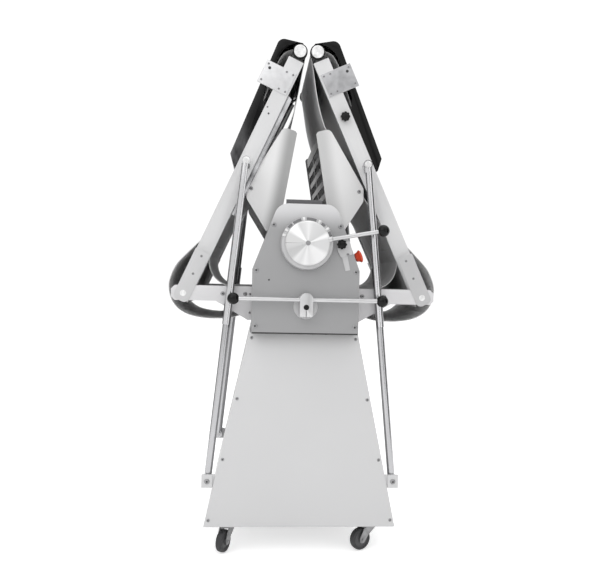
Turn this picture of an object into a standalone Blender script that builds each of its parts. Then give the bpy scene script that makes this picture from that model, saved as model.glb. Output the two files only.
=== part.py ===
"""A floor-standing reversible dough sheeter with both conveyor tables folded up over the head.

Metres, +Z up, operator side at -Y. side is -1 on the left and +1 on the right; end is -1 at the
front and +1 at the rear. Table parts are drawn in (u, v): u runs from the table hinge along the
table, v runs at right angles to it and points up when the table is open.
"""
import math

import bmesh
import bpy
from mathutils import Matrix, Vector

GAP = 0.0003

BASE_BOTTOM_Z = 0.090
BASE_TOP_Z = 0.721
BASE_BOTTOM_HALF = 0.310
BASE_TOP_HALF = 0.174
BASE_HALF_DEPTH = 0.345
BASE_WALL = 0.006
PANEL_THICK = 0.0035

HEAD_HALF = 0.170
SHOULDER_Z = 0.922
SHOULDER_HALF = 0.106
SHOULDER_TOP_Z = 1.090
HEAD_TOP_Z = 1.131
HEAD_TOP_HALF = 0.064
FRAME_INNER_Y = 0.2635
FRAME_OUTER_Y = 0.2805
COVER_OUTER_Y = 0.385
COVER_WALL = 0.003

HINGE_X = 0.392
HINGE_Z = 0.840
FOLD = math.radians(65.6)
TABLE_LENGTH = 0.879
ARM_HALF = 0.0265
ARM_END_U = 0.850
BRACKET_RADIUS = 0.025
TABLE_ARM_INNER_Y = 0.266
TABLE_ARM_OUTER_Y = 0.278
FIXED_ARM_OUTER_Y = 0.305
FIXED_ARM_END_X = 0.431
FIXED_ARM_LOW_Z = 0.817
FIXED_ARM_HIGH_Z = 0.866
BED_HALF_WIDTH = 0.2625

ROLLER_RADIUS = 0.044
LOWER_ROLLER_Z = 0.822
ROLLER_OPENING = 0.006
UPPER_ROLLER_Z = LOWER_ROLLER_Z + 2 * ROLLER_RADIUS + ROLLER_OPENING
ROLLER_TRAVEL = 0.038
ROLLER_HALF_WIDTH = 0.260
JOURNAL_RADIUS = 0.012
DRIVE_RADIUS = 0.024
DRIVE_X = 0.078
DRIVE_Z = 0.8355
END_RADIUS = 0.0195
BELT_HALF_WIDTH = 0.255
BELT_THICK = 0.002

STRUT_Y = 0.322
STRUT_U = 0.472
STRUT_FOOT_X = 0.301
STRUT_FOOT_Z = 0.239
SLEEVE_RADIUS = 0.0146
SLEEVE_BORE = 0.0132
SLEEVE_LENGTH = 0.530
ROD_RADIUS = 0.0123
ROD_LENGTH = 0.700
PIN_RADIUS = 0.006
EYE_RADIUS = 0.015

GUARD_X = 0.100
GUARD_Z = 1.066
GUARD_INNER_Y = 0.2570
GUARD_OUTER_Y = 0.2600
GUARD_SHAFT = 0.008

DIAL_Z = 1.005
DIAL_RADIUS = 0.069
SCALE_RADIUS = 0.083
LEVER_TILT = math.radians(10.7)
LEVER_REACH = 0.240
BALL_RADIUS = 0.0188
DIRECTION_Z = 0.806
DIRECTION_ROD_Z = 0.829
DIRECTION_REACH = {-1: 0.227, 1: 0.240}

MOTOR_Z = 0.205
MOTOR_PULLEY = 0.030
ROLLER_PULLEY = 0.055
PULLEY_Y = 0.3235
PULLEY_HALF = 0.0085

CASTER_X = 0.233
CASTER_Y = 0.285
WHEEL_RADIUS = 0.036
CASTER_TRAIL = 0.032
CASTER_TURNS = {(-1, -1): 245, (1, -1): 208, (-1, 1): 70, (1, 1): 115}

# Moves everything back so that the front ball knob and the rear cover lie equally far from y = 0.
CENTRE_SHIFT = 0.0294

SIDE_NAMES = {-1: "left", 1: "right"}
END_NAMES = {-1: "front", 1: "rear"}

PAINT_LIGHT = ((0.78, 0.79, 0.80), 0.42, 0.0)
PAINT_GREY = ((0.52, 0.52, 0.53), 0.45, 0.0)
STEEL = ((0.62, 0.62, 0.63), 0.30, 1.0)
CHROME = ((0.80, 0.80, 0.81), 0.12, 1.0)
BLACK = ((0.02, 0.02, 0.022), 0.40, 0.0)
BELT = ((0.72, 0.71, 0.68), 0.75, 0.0)
CAST = ((0.60, 0.60, 0.60), 0.38, 1.0)
RED = ((0.80, 0.09, 0.02), 0.35, 0.0)


def clear_scene():
    for obj in list(bpy.data.objects):
        bpy.data.objects.remove(obj)


def new_object(name, bm):
    bmesh.ops.recalc_face_normals(bm, faces=bm.faces)
    mesh = bpy.data.meshes.new(name)
    bm.to_mesh(mesh)
    bm.free()
    obj = bpy.data.objects.new(name, mesh)
    bpy.context.scene.collection.objects.link(obj)
    return obj


def combine(obj, tools, operation):
    """Joins or cuts obj with each tool in turn, and removes the tools."""
    for tool in tools:
        modifier = obj.modifiers.new("shape", "BOOLEAN")
        modifier.operation = operation
        modifier.solver = "EXACT"
        modifier.object = tool
        graph = bpy.context.evaluated_depsgraph_get()
        mesh = bpy.data.meshes.new_from_object(obj.evaluated_get(graph))
        obj.modifiers.clear()
        obj.data = mesh
        bpy.data.objects.remove(tool)
    return obj


def join(obj, *tools):
    return combine(obj, tools, "UNION")


def cut(obj, *tools):
    return combine(obj, tools, "DIFFERENCE")


def finish(obj, name, look):
    colour, roughness, metallic = look
    obj.name = name
    material = bpy.data.materials.new(name)
    material.use_nodes = True
    shader = material.node_tree.nodes["Principled BSDF"]
    shader.inputs["Base Color"].default_value = (*colour, 1)
    shader.inputs["Roughness"].default_value = roughness
    shader.inputs["Metallic"].default_value = metallic
    obj.data.materials.clear()
    obj.data.materials.append(material)
    return obj


def box(x0, x1, y0, y1, z0, z1):
    return prism([(x0, z0), (x1, z0), (x1, z1), (x0, z1)], y0, y1)


def prism(outline, y0, y1):
    """A flat outline of (x, z) points, thickened from y0 to y1."""
    bm = bmesh.new()
    near = [bm.verts.new((x, y0, z)) for x, z in outline]
    far = [bm.verts.new((x, y1, z)) for x, z in outline]
    bm.faces.new(near)
    bm.faces.new(far[::-1])
    for i in range(len(outline)):
        j = (i + 1) % len(outline)
        bm.faces.new((near[i], near[j], far[j], far[i]))
    return new_object("shape", bm)


def lathe(profile, origin, axis, steps, ring=False):
    """Turns (radius, distance along) points about an axis. A ring has a hole; a bar runs radius 0 to 0."""
    bm = bmesh.new()
    direction = Vector(axis).normalized()
    turn = direction.to_track_quat("Z", "Y").to_matrix()
    rows = []
    for radius, along in profile:
        row = []
        for step in range(steps):
            angle = 2 * math.pi * step / steps
            place = turn @ Vector((radius * math.cos(angle), radius * math.sin(angle), along))
            row.append(place + Vector(origin))
        if radius == 0:
            row = [bm.verts.new(row[0])] * steps
        else:
            row = [bm.verts.new(place) for place in row]
        rows.append(row)
    pairs = list(zip(rows, rows[1:]))
    if ring:
        pairs.append((rows[-1], rows[0]))
    for low, high in pairs:
        for i in range(steps):
            j = (i + 1) % steps
            corners = []
            for corner in (low[i], low[j], high[j], high[i]):
                if corner not in corners:
                    corners.append(corner)
            if len(corners) > 2:
                bm.faces.new(corners)
    return new_object("shape", bm)


def bar(start, stop, radius, steps=24):
    start = Vector(start)
    reach = Vector(stop) - start
    profile = [(0, 0), (radius, 0), (radius, reach.length), (0, reach.length)]
    return lathe(profile, start, reach, steps)


def bar_y(x, z, y0, y1, radius, steps=24):
    return bar((x, y0, z), (x, y1, z), radius, steps)


def tube_y(x, z, y0, y1, inner, outer, steps=24):
    profile = [(inner, 0), (outer, 0), (outer, y1 - y0), (inner, y1 - y0)]
    return lathe(profile, (x, y0, z), (0, 1, 0), steps, ring=True)


def band(path, thick, y0, y1):
    """A closed loop of belt that follows an (x, z) path."""
    count = len(path)
    area = 0
    for i in range(count):
        a = path[i]
        b = path[(i + 1) % count]
        area += a[0] * b[1] - a[1] * b[0]
    outward = 1 if area > 0 else -1
    sides = []
    for shift in (thick / 2, -thick / 2):
        edge = []
        for i in range(count):
            before = Vector(path[i - 1])
            after = Vector(path[(i + 1) % count])
            along = (after - before).normalized()
            normal = Vector((along.y, -along.x)) * outward
            edge.append(Vector(path[i]) + normal * shift)
        sides.append(edge)
    bm = bmesh.new()
    rows = []
    for edge, y in ((sides[0], y0), (sides[0], y1), (sides[1], y1), (sides[1], y0)):
        rows.append([bm.verts.new((p.x, y, p.y)) for p in edge])
    for a, b in zip(rows, rows[1:] + rows[:1]):
        for i in range(count):
            j = (i + 1) % count
            bm.faces.new((a[i], a[j], b[j], b[i]))
    return new_object("shape", bm)


def smooth(points, steps):
    """A curve through the points (Catmull-Rom), without its last point."""
    out = []
    for i in range(len(points) - 1):
        p0 = Vector(points[max(i - 1, 0)])
        p1 = Vector(points[i])
        p2 = Vector(points[i + 1])
        p3 = Vector(points[min(i + 2, len(points) - 1)])
        for step in range(steps):
            t = step / steps
            place = 0.5 * (2 * p1 + (p2 - p0) * t + (2 * p0 - 5 * p1 + 4 * p2 - p3) * t * t)
            place += 0.5 * (3 * p1 - p0 - 3 * p2 + p3) * t ** 3
            out.append((place.x, place.y))
    return out


def arc(centre, radius, start, stop, steps):
    """Points on a circle from start to stop degrees, both included."""
    out = []
    for step in range(steps + 1):
        angle = math.radians(start + (stop - start) * step / steps)
        out.append((centre[0] + radius * math.cos(angle), centre[1] + radius * math.sin(angle)))
    return out


def on_table(side, u, v):
    """The (x, z) of a table point while the table is folded up."""
    x = HINGE_X - u * math.cos(FOLD) - v * math.sin(FOLD)
    return side * x, HINGE_Z + u * math.sin(FOLD) - v * math.cos(FOLD)


def table_outline(side, points):
    return [on_table(side, u, v) for u, v in points]


def ordered(a, b):
    return min(a, b), max(a, b)


def base_half(z):
    share = (z - BASE_BOTTOM_Z) / (BASE_TOP_Z - BASE_BOTTOM_Z)
    return BASE_BOTTOM_HALF + share * (BASE_TOP_HALF - BASE_BOTTOM_HALF)


def base_outline(inset, low, high):
    return [
        (-base_half(low) + inset, low),
        (base_half(low) - inset, low),
        (base_half(high) - inset, high),
        (-base_half(high) + inset, high),
    ]


def make_base_frame():
    depth = BASE_HALF_DEPTH - PANEL_THICK - GAP
    frame = prism(base_outline(0, BASE_BOTTOM_Z, BASE_TOP_Z), -depth, depth)
    low = BASE_BOTTOM_Z + 0.008
    high = BASE_TOP_Z - 0.008
    cut(frame, prism(base_outline(BASE_WALL, low, high), -depth - 0.01, depth + 0.01))
    cut(frame, box(-0.066, 0.066, PULLEY_Y - 0.014, PULLEY_Y + 0.014, 0.70, 0.75))
    for side in (-1, 1):
        for end in (-1, 1):
            add_strut_ear(frame, side, end)
            plate_x = side * CASTER_X
            plate_y = end * CASTER_Y
            join(
                frame,
                box(plate_x - 0.036, plate_x + 0.036, plate_y - 0.036, plate_y + 0.036, 0.086, 0.092),
            )
            join(frame, bar((plate_x, plate_y, 0.0795), (plate_x, plate_y, 0.088), 0.006, 16))
    return finish(frame, "base_frame", PAINT_LIGHT)


def add_strut_ear(frame, side, end):
    """A tab at the cabinet's corner that carries the pin of a folding strut."""
    outer = end * BASE_HALF_DEPTH
    inner = end * (BASE_HALF_DEPTH - 0.0060)
    x = side * STRUT_FOOT_X
    wall = side * (base_half(STRUT_FOOT_Z) - 0.002)
    tab_x = ordered(wall, x + side * 0.018)
    root = side * (base_half(STRUT_FOOT_Z) + 0.0065)
    tab = box(*ordered(root, x + side * 0.018), *ordered(outer, inner), 0.218, 0.260)
    foot_y = ordered(end * (BASE_HALF_DEPTH - 0.0045), end * (BASE_HALF_DEPTH - 0.0102))
    foot = box(tab_x[0], tab_x[1], *foot_y, 0.218, 0.260)
    pin = bar_y(x, STRUT_FOOT_Z, *ordered(end * (STRUT_Y - 0.013), outer), PIN_RADIUS, 16)
    join(tab, foot)
    join(tab, pin)
    join(frame, tab)


def make_base_panels():
    for end in (-1, 1):
        outer = end * BASE_HALF_DEPTH
        inner = end * (BASE_HALF_DEPTH - PANEL_THICK)
        outline = base_outline(-0.001, BASE_BOTTOM_Z + 0.002, BASE_TOP_Z - 0.001)
        panel = prism(outline, *ordered(outer, inner))
        finish(panel, "base_" + END_NAMES[end] + "_panel", PAINT_LIGHT)


def head_outline(inset, low):
    """The head's outline, seen from the front, with rounded shoulders."""
    right = [(HEAD_HALF - inset, low), (HEAD_HALF - inset, SHOULDER_Z)]
    right.append((SHOULDER_HALF + 0.006 - inset, SHOULDER_TOP_Z - 0.016))
    right.append((SHOULDER_HALF - 0.006 - inset, SHOULDER_TOP_Z + 0.010 - inset * 0.5))
    right.append((SHOULDER_HALF - 0.022 - inset * 0.7, HEAD_TOP_Z - 0.010 - inset * 0.9))
    right.append((HEAD_TOP_HALF - inset * 0.4, HEAD_TOP_Z - inset))
    left = [(-x, z) for x, z in right]
    return right + left[::-1]


def make_side_frames():
    """The two head plates that carry the sheeting rollers."""
    for end in (-1, 1):
        outline = head_outline(COVER_WALL + 0.002, BASE_TOP_Z + GAP)
        plate = prism(outline, *ordered(end * FRAME_INNER_Y, end * FRAME_OUTER_Y))
        y0 = -0.30 if end < 0 else 0.25
        y1 = y0 + 0.05
        cut(plate, bar_y(0, LOWER_ROLLER_Z, y0, y1, JOURNAL_RADIUS + GAP))
        slot_low = UPPER_ROLLER_Z - JOURNAL_RADIUS - 0.001
        slot_high = UPPER_ROLLER_Z + ROLLER_TRAVEL + JOURNAL_RADIUS + 0.001
        cut(plate, box(-0.0128, 0.0128, y0, y1, slot_low, slot_high))
        tie_low = UPPER_ROLLER_Z + 0.0585
        cut(plate, box(-0.0215, 0.0215, y0, y1, tie_low, tie_low + ROLLER_TRAVEL + 0.0175))
        for side in (-1, 1):
            cut(plate, bar_y(side * DRIVE_X, DRIVE_Z, y0, y1, 0.0083))
            cut(plate, bar_y(side * GUARD_X, GUARD_Z, y0, y1, GUARD_SHAFT + GAP))
        finish(plate, END_NAMES[end] + "_side_frame", CAST)


def make_covers():
    for end in (-1, 1):
        cover = prism(head_outline(0, BASE_TOP_Z + 0.0025), *ordered(end * 0.2808, end * COVER_OUTER_Y))
        hollow_y = ordered(end * 0.27, end * (COVER_OUTER_Y - COVER_WALL))
        cut(cover, prism(head_outline(COVER_WALL, BASE_TOP_Z - 0.02), *hollow_y))
        notch_y = ordered(end * 0.27, end * (FIXED_ARM_OUTER_Y + 0.0008))
        cut(cover, box(-0.2, 0.2, *notch_y, 0.752, FIXED_ARM_HIGH_Z + 0.0008))
        if end < 0:
            cut(cover, bar_y(0, DIAL_Z, -0.40, -0.37, 0.0125))
            cut(cover, bar_y(0, DIRECTION_Z, -0.40, -0.37, 0.0105))
        finish(cover, END_NAMES[end] + "_cover", PAINT_GREY)


def make_head_top():
    top = box(-0.058, 0.058, -FRAME_OUTER_Y, FRAME_OUTER_Y, HEAD_TOP_Z - 0.0047, HEAD_TOP_Z + 0.006)
    finish(top, "head_top_plate", PAINT_GREY)


def make_arm_frames():
    """The two outboard arms of a side, with the slider bed that joins them."""
    for side in (-1, 1):
        frame = box(
            *ordered(side * 0.172, side * 0.340), -0.2835, 0.2835, FIXED_ARM_HIGH_Z - 0.0138, 0.8592
        )
        inner_x = ordered(side * 0.112, side * 0.174)
        inner_bed = box(*inner_x, -BED_HALF_WIDTH, BED_HALF_WIDTH, 0.8522, 0.8592)
        join(frame, inner_bed)
        for end in (-1, 1):
            outline = [
                (side * 0.120, 0.760),
                (side * 0.183, 0.756),
                (side * 0.287, FIXED_ARM_LOW_Z),
                (side * (FIXED_ARM_END_X - 0.012), FIXED_ARM_LOW_Z),
                (side * FIXED_ARM_END_X, FIXED_ARM_LOW_Z + 0.012),
                (side * FIXED_ARM_END_X, FIXED_ARM_HIGH_Z - 0.012),
                (side * (FIXED_ARM_END_X - 0.012), FIXED_ARM_HIGH_Z),
                (side * 0.120, FIXED_ARM_HIGH_Z),
            ]
            arm = prism(outline, *ordered(end * (FRAME_OUTER_Y + GAP), end * FIXED_ARM_OUTER_Y))
            hole_y = ordered(end * 0.27, end * 0.32)
            cut(arm, bar_y(side * HINGE_X, HINGE_Z, *hole_y, 0.0103))
            join(frame, arm)
        finish(frame, SIDE_NAMES[side] + "_arm_frame", PAINT_LIGHT)


def make_sheeting_rollers():
    lower = bar_y(0, LOWER_ROLLER_Z, -ROLLER_HALF_WIDTH, ROLLER_HALF_WIDTH, ROLLER_RADIUS, 40)
    join(lower, bar_y(0, LOWER_ROLLER_Z, -0.300, 0.336, JOURNAL_RADIUS))
    finish(lower, "lower_sheeting_roller", CHROME)
    upper = bar_y(0, UPPER_ROLLER_Z, -ROLLER_HALF_WIDTH, ROLLER_HALF_WIDTH, ROLLER_RADIUS, 40)
    join(upper, bar_y(0, UPPER_ROLLER_Z, -0.305, 0.305, JOURNAL_RADIUS))
    finish(upper, "upper_sheeting_roller", CHROME)


def make_roller_carriage():
    """The bearing blocks of the upper roller, with the tie bar and scraper that join them."""
    z = UPPER_ROLLER_Z
    carriage = box(-0.020, 0.020, -0.310, 0.310, z + 0.060, z + 0.074)
    blade = [(-0.004, z + 0.0455), (0.004, z + 0.0455), (0.012, z + 0.062), (-0.012, z + 0.062)]
    join(carriage, prism(blade, -0.255, 0.255))
    for end in (-1, 1):
        block_y = ordered(end * 0.2808, end * 0.312)
        block = box(-0.030, 0.030, *block_y, z - 0.034, z + 0.076)
        cut(block, bar_y(0, z, *ordered(end * 0.27, end * 0.33), JOURNAL_RADIUS + GAP))
        join(carriage, block)
    finish(carriage, "roller_carriage", CAST)


def make_lower_scraper():
    """A blade under the lower roller, held between the side frames."""
    z = LOWER_ROLLER_Z - ROLLER_RADIUS
    outline = [(-0.030, z - 0.012), (0.030, z - 0.012), (0.008, z - 0.0006), (-0.008, z - 0.0006)]
    scraper = prism(outline, -FRAME_INNER_Y + GAP, FRAME_INNER_Y - GAP)
    finish(scraper, "lower_scraper", STEEL)


def make_drive_rollers():
    for side in (-1, 1):
        x = side * DRIVE_X
        roller = bar_y(x, DRIVE_Z, -BELT_HALF_WIDTH, BELT_HALF_WIDTH, DRIVE_RADIUS, 28)
        join(roller, bar_y(x, DRIVE_Z, -0.2802, 0.2802, 0.008, 16))
        finish(roller, SIDE_NAMES[side] + "_drive_roller", STEEL)


def make_drive():
    """The motor in the base, and the belt drive up to the lower sheeting roller."""
    profile = [(0, -0.100), (0.060, -0.100), (0.060, -0.080), (0.068, -0.080), (0.068, 0.250), (0, 0.250)]
    motor = lathe(profile, (0, 0, MOTOR_Z), (0, 1, 0), 28)
    join(motor, box(-0.0590, 0.0590, -0.040, 0.200, BASE_BOTTOM_Z + 0.0083, MOTOR_Z - 0.0115))
    finish(motor, "drive_motor", PAINT_GREY)
    pulley = bar_y(0, MOTOR_Z, PULLEY_Y - PULLEY_HALF, PULLEY_Y + PULLEY_HALF, MOTOR_PULLEY)
    join(pulley, bar_y(0, MOTOR_Z, 0.2503, PULLEY_Y, 0.010, 16))
    finish(pulley, "motor_pulley", STEEL)
    wheel = tube_y(
        0,
        LOWER_ROLLER_Z,
        PULLEY_Y - PULLEY_HALF,
        PULLEY_Y + PULLEY_HALF,
        JOURNAL_RADIUS + GAP,
        ROLLER_PULLEY,
        32,
    )
    finish(wheel, "roller_pulley", STEEL)
    lean = math.degrees(math.asin((ROLLER_PULLEY - MOTOR_PULLEY) / (LOWER_ROLLER_Z - MOTOR_Z)))
    low = arc((0, MOTOR_Z), MOTOR_PULLEY + 0.0018, 180 - lean, 360 + lean, 14)
    high = arc((0, LOWER_ROLLER_Z), ROLLER_PULLEY + 0.0018, -lean, 180 + lean, 18)
    belt = band(low + high, 0.003, PULLEY_Y - 0.007, PULLEY_Y + 0.007)
    finish(belt, "drive_belt", BLACK)


def strut_direction(side):
    """The unit (x, z) from a strut's foot to its pin on the folded table."""
    top = Vector(on_table(side, STRUT_U, 0))
    foot = Vector((side * STRUT_FOOT_X, STRUT_FOOT_Z))
    return foot, top, (top - foot).normalized()


def sleeve_shape(side, end):
    """An open-sided tube: its slot faces the machine, so that the rod can lean into it as it folds."""
    foot, top, up = strut_direction(side)
    across = Vector((up.y, -up.x))
    if across.x * side > 0:
        across = -across
    y = end * STRUT_Y
    lower_end = top - up * SLEEVE_LENGTH
    upper_end = top - up * 0.010
    outer = bar((lower_end.x, y, lower_end.y), (upper_end.x, y, upper_end.y), SLEEVE_RADIUS, 24)
    start = top - up * (SLEEVE_LENGTH + 0.01)
    stop = top - up * 0.026
    bore = bar((start.x, y, start.y), (stop.x, y, stop.y), SLEEVE_BORE, 24)
    slot_wide = SLEEVE_BORE - 0.0006
    corners = []
    slot_end = SLEEVE_LENGTH - 0.026
    for along, away in ((-0.01, 0), (slot_end, 0), (slot_end, 0.03), (-0.01, 0.03)):
        place = lower_end + up * along + across * away
        corners.append((place.x, place.y))
    slot = prism(corners, y - slot_wide, y + slot_wide)
    join(bore, slot)
    cut(outer, bore)
    eye = bar_y(top.x, top.y, y - 0.0110, y + 0.0110, EYE_RADIUS, 20)
    join(outer, eye)
    cut(outer, bar_y(top.x, top.y, y - 0.03, y + 0.03, PIN_RADIUS + GAP, 16))
    return outer


def make_struts():
    for side in (-1, 1):
        foot, top, up = strut_direction(side)
        for end in (-1, 1):
            name = SIDE_NAMES[side] + "_" + END_NAMES[end] + "_strut_"
            finish(sleeve_shape(side, end), name + "sleeve", CHROME)
            y = end * STRUT_Y
            rod_top = foot + up * ROD_LENGTH
            rod = bar((foot.x, y, foot.y), (rod_top.x, y, rod_top.y), ROD_RADIUS, 20)
            join(rod, bar_y(foot.x, foot.y, y - 0.0110, y + 0.0110, EYE_RADIUS, 20))
            cut(rod, bar_y(foot.x, foot.y, y - 0.03, y + 0.03, PIN_RADIUS + GAP, 16))
            finish(rod, name + "rod", CHROME)


def make_table_frame(side):
    """Both side arms of a table with its bed, hinge pins, strut pins and tray holders."""
    bed = table_outline(side, [(0.030, 0.0110), (0.845, 0.0110), (0.845, 0.0192), (0.030, 0.0192)])
    frame = prism(bed, -0.268, 0.268)
    hinge = (side * HINGE_X, HINGE_Z)
    join(frame, bar_y(*hinge, -0.268, 0.268, 0.012, 20))
    tip = [(ARM_END_U, -ARM_HALF), (ARM_END_U, ARM_HALF)]
    nose = [(ARM_END_U - 0.012, -0.0180)]
    for i in range(19):
        angle = math.radians(-134 + 268 * i / 18)
        nose.append((TABLE_LENGTH + BRACKET_RADIUS * math.cos(angle), BRACKET_RADIUS * math.sin(angle)))
    nose.append((ARM_END_U - 0.012, 0.0180))
    heel = [
        (ARM_HALF * math.cos(a), ARM_HALF * math.sin(a))
        for a in [math.radians(90 + 30 * i) for i in range(7)]
    ]
    for end in (-1, 1):
        arm = prism(
            table_outline(side, tip + heel), *ordered(end * TABLE_ARM_INNER_Y, end * TABLE_ARM_OUTER_Y)
        )
        roller = on_table(side, TABLE_LENGTH, 0)
        bracket_y = ordered(end * (TABLE_ARM_INNER_Y + 0.0006), end * (TABLE_ARM_OUTER_Y - 0.0010))
        join(arm, prism(table_outline(side, nose), *bracket_y))
        cut(arm, bar_y(*roller, *ordered(end * 0.26, end * 0.29), 0.0083, 16))
        pin_top = on_table(side, STRUT_U, 0)
        join(arm, bar_y(*hinge, *ordered(end * 0.27, end * 0.3060), 0.0100, 20))
        boss = bar_y(*pin_top, *ordered(end * 0.27, end * (STRUT_Y - 0.0150)), 0.013, 20)
        join(boss, bar_y(*pin_top, *ordered(end * 0.30, end * (STRUT_Y + 0.0165)), PIN_RADIUS, 16))
        join(arm, boss)
        strap = [(-0.012, -0.0245), (0.125, -0.0245), (0.145, -0.010), (0.145, 0.0245), (-0.012, 0.0245)]
        join(arm, prism(table_outline(side, strap), *ordered(end * 0.277, end * 0.2803)))
        holder = [(0.727, -0.085), (0.807, -0.085), (0.807, 0.022), (0.727, 0.022)]
        join(arm, prism(table_outline(side, holder), *ordered(end * 0.2773, end * 0.2808)))
        join(frame, arm)
    return finish(frame, SIDE_NAMES[side] + "_table_frame", PAINT_LIGHT)


def make_end_roller(side):
    x, z = on_table(side, TABLE_LENGTH, 0)
    roller = bar_y(x, z, -BED_HALF_WIDTH, BED_HALF_WIDTH, END_RADIUS, 24)
    join(roller, bar_y(x, z, -0.284, 0.284, 0.008, 16))
    for end in (-1, 1):
        join(roller, bar_y(x, z, *ordered(end * 0.2784, end * 0.2850), 0.0205, 24))
    return finish(roller, SIDE_NAMES[side] + "_end_roller", STEEL)


def make_catch_tray(side):
    """A trough for flour and trimmings, hung under the outer half of the table."""
    skin = 0.0025
    outer = [(0.444, -0.0330), (0.477, -0.0614), (0.864, -0.0785), (0.886, -0.0720), (0.8965, -0.052)]
    outer += [(0.9090, -0.0020), (0.9062, -0.0020), (0.8937, -0.0510), (0.884, -0.0695)]
    outer += [(0.863, -0.0785 + skin), (0.478, -0.0614 + skin), (0.446, -0.0310)]
    tray = prism(table_outline(side, outer), -0.2765, 0.2765)
    cheek = [(0.444, -0.0330), (0.477, -0.0614), (0.864, -0.0785), (0.886, -0.0720), (0.8965, -0.052)]
    cheek += [(0.9025, -0.0270), (0.460, -0.0270)]
    for end in (-1, 1):
        join(tray, prism(table_outline(side, cheek), *ordered(end * 0.2735, end * 0.2770)))
    return finish(tray, SIDE_NAMES[side] + "_catch_tray", BLACK)


def star_outline(radius, x, z):
    out = []
    for i in range(32):
        angle = 2 * math.pi * i / 32
        reach = radius * (1 - 0.09 * (1 - math.cos(8 * angle)))
        out.append((x + reach * math.cos(angle), z + reach * math.sin(angle)))
    return out


def make_table_lock_knob():
    x, z = on_table(1, 0.649, 0)
    knob = prism(star_outline(0.016, x, z), -0.2985, -0.2840)
    join(knob, bar_y(x, z, -0.286, -TABLE_ARM_OUTER_Y - GAP, 0.008, 16))
    finish(knob, "table_lock_knob", BLACK)


def make_tables():
    for side in (-1, 1):
        make_table_frame(side)
        make_end_roller(side)
        make_catch_tray(side)


def belt_path(side):
    """The slack conveyor belt, draped between the head and the raised end of its table."""
    tip = on_table(-1, TABLE_LENGTH, 0)
    inner = [(-0.0084, 1.6370), (-0.018, 1.585), (-0.036, 1.482), (-0.063, 1.396), (-0.105, 1.322)]
    inner += [(-0.150, 1.250), (-0.198, 1.168), on_table(-1, 0.320, 0.0300), on_table(-1, 0.250, 0.0225)]
    inner += [on_table(-1, 0.190, 0.0222), (-0.312, 0.954), (-0.300, 0.904), (-0.267, 0.8746)]
    inner += [(-0.225, 0.8625), (-0.17, 0.8608)]
    inner += [(-DRIVE_X - 0.01, 0.8608)]
    head = arc((-DRIVE_X, DRIVE_Z), DRIVE_RADIUS + 0.0013, 90, -90, 10)
    outer = [(-0.090, 0.8100), (-0.13, 0.799), (-0.2046, 0.7707), (-0.241, 0.760), (-0.284, 0.757)]
    outer += [(-0.320, 0.757), (-0.363, 0.7657), (-0.406, 0.7855), (-0.437, 0.828), (-0.4455, 0.878)]
    outer += [(-0.428, 0.926), (-0.388, 0.974), on_table(-1, 0.192, -0.0220), on_table(-1, 0.30, -0.0200)]
    outer += [on_table(-1, 0.45, -0.0215), on_table(-1, 0.56, -0.030), on_table(-1, 0.697, -0.0416)]
    outer += [on_table(-1, 0.8132, -0.0471), (-0.0431, 1.6557)]
    over = arc(tip, END_RADIUS + 0.0013, 132, -8, 8)
    path = smooth(inner, 3) + head + smooth(outer, 3) + over
    return [(-side * x, z) for x, z in path]


def make_belts():
    for side in (-1, 1):
        belt = band(belt_path(side), BELT_THICK, -BELT_HALF_WIDTH, BELT_HALF_WIDTH)
        finish(belt, SIDE_NAMES[side] + "_belt", BELT)


def make_guards():
    """Raised safety guards: two side plates, a grille between them, and the pivot shaft."""
    for side in (-1, 1):
        outline = [(0.083, 1.386), (0.074, 1.392), (0.060, 1.391), (0.037, 1.384), (0.032, 1.376)]
        outline += [(0.074, 1.130), (0.090, 1.052), (0.104, 1.048), (0.128, 1.050)]
        outline += [(0.192, 1.152), (0.195, 1.160), (0.195, 1.200)]
        outline = [(side * x, z) for x, z in outline]
        guard = bar_y(side * GUARD_X, GUARD_Z, -0.2802, 0.2802, GUARD_SHAFT, 16)
        for end in (-1, 1):
            join(guard, prism(outline, *ordered(end * GUARD_INNER_Y, end * GUARD_OUTER_Y)))
        low = Vector((side * 0.079, 1.120))
        high = Vector((side * 0.037, 1.372))
        away = Vector((high - low).normalized().yx) * 0.003
        away.x = side * abs(away.x)
        away.y = abs(away.y)
        corners = [low, high, high + away, low + away]
        panel = prism([(p.x, p.y) for p in corners], -0.2585, 0.2585)
        for row in range(5):
            start = low.lerp(high, 0.10 + 0.17 * row)
            stop = low.lerp(high, 0.20 + 0.17 * row)
            across = away * 4
            slot = [start - across, stop - across, stop + across, start + across]
            for y0, y1 in ((-0.235, -0.010), (0.010, 0.235)):
                cut(panel, prism([(p.x, p.y) for p in slot], y0, y1))
        join(guard, panel)
        finish(guard, SIDE_NAMES[side] + "_guard", PAINT_LIGHT)


def ball(centre, radius):
    rows = 8
    profile = []
    for i in range(rows + 1):
        angle = math.pi * i / rows
        reach = 0 if i in (0, rows) else radius * math.sin(angle)
        profile.append((reach, -radius * math.cos(angle)))
    return lathe(profile, centre, (0, 1, 0), 16)


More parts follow.
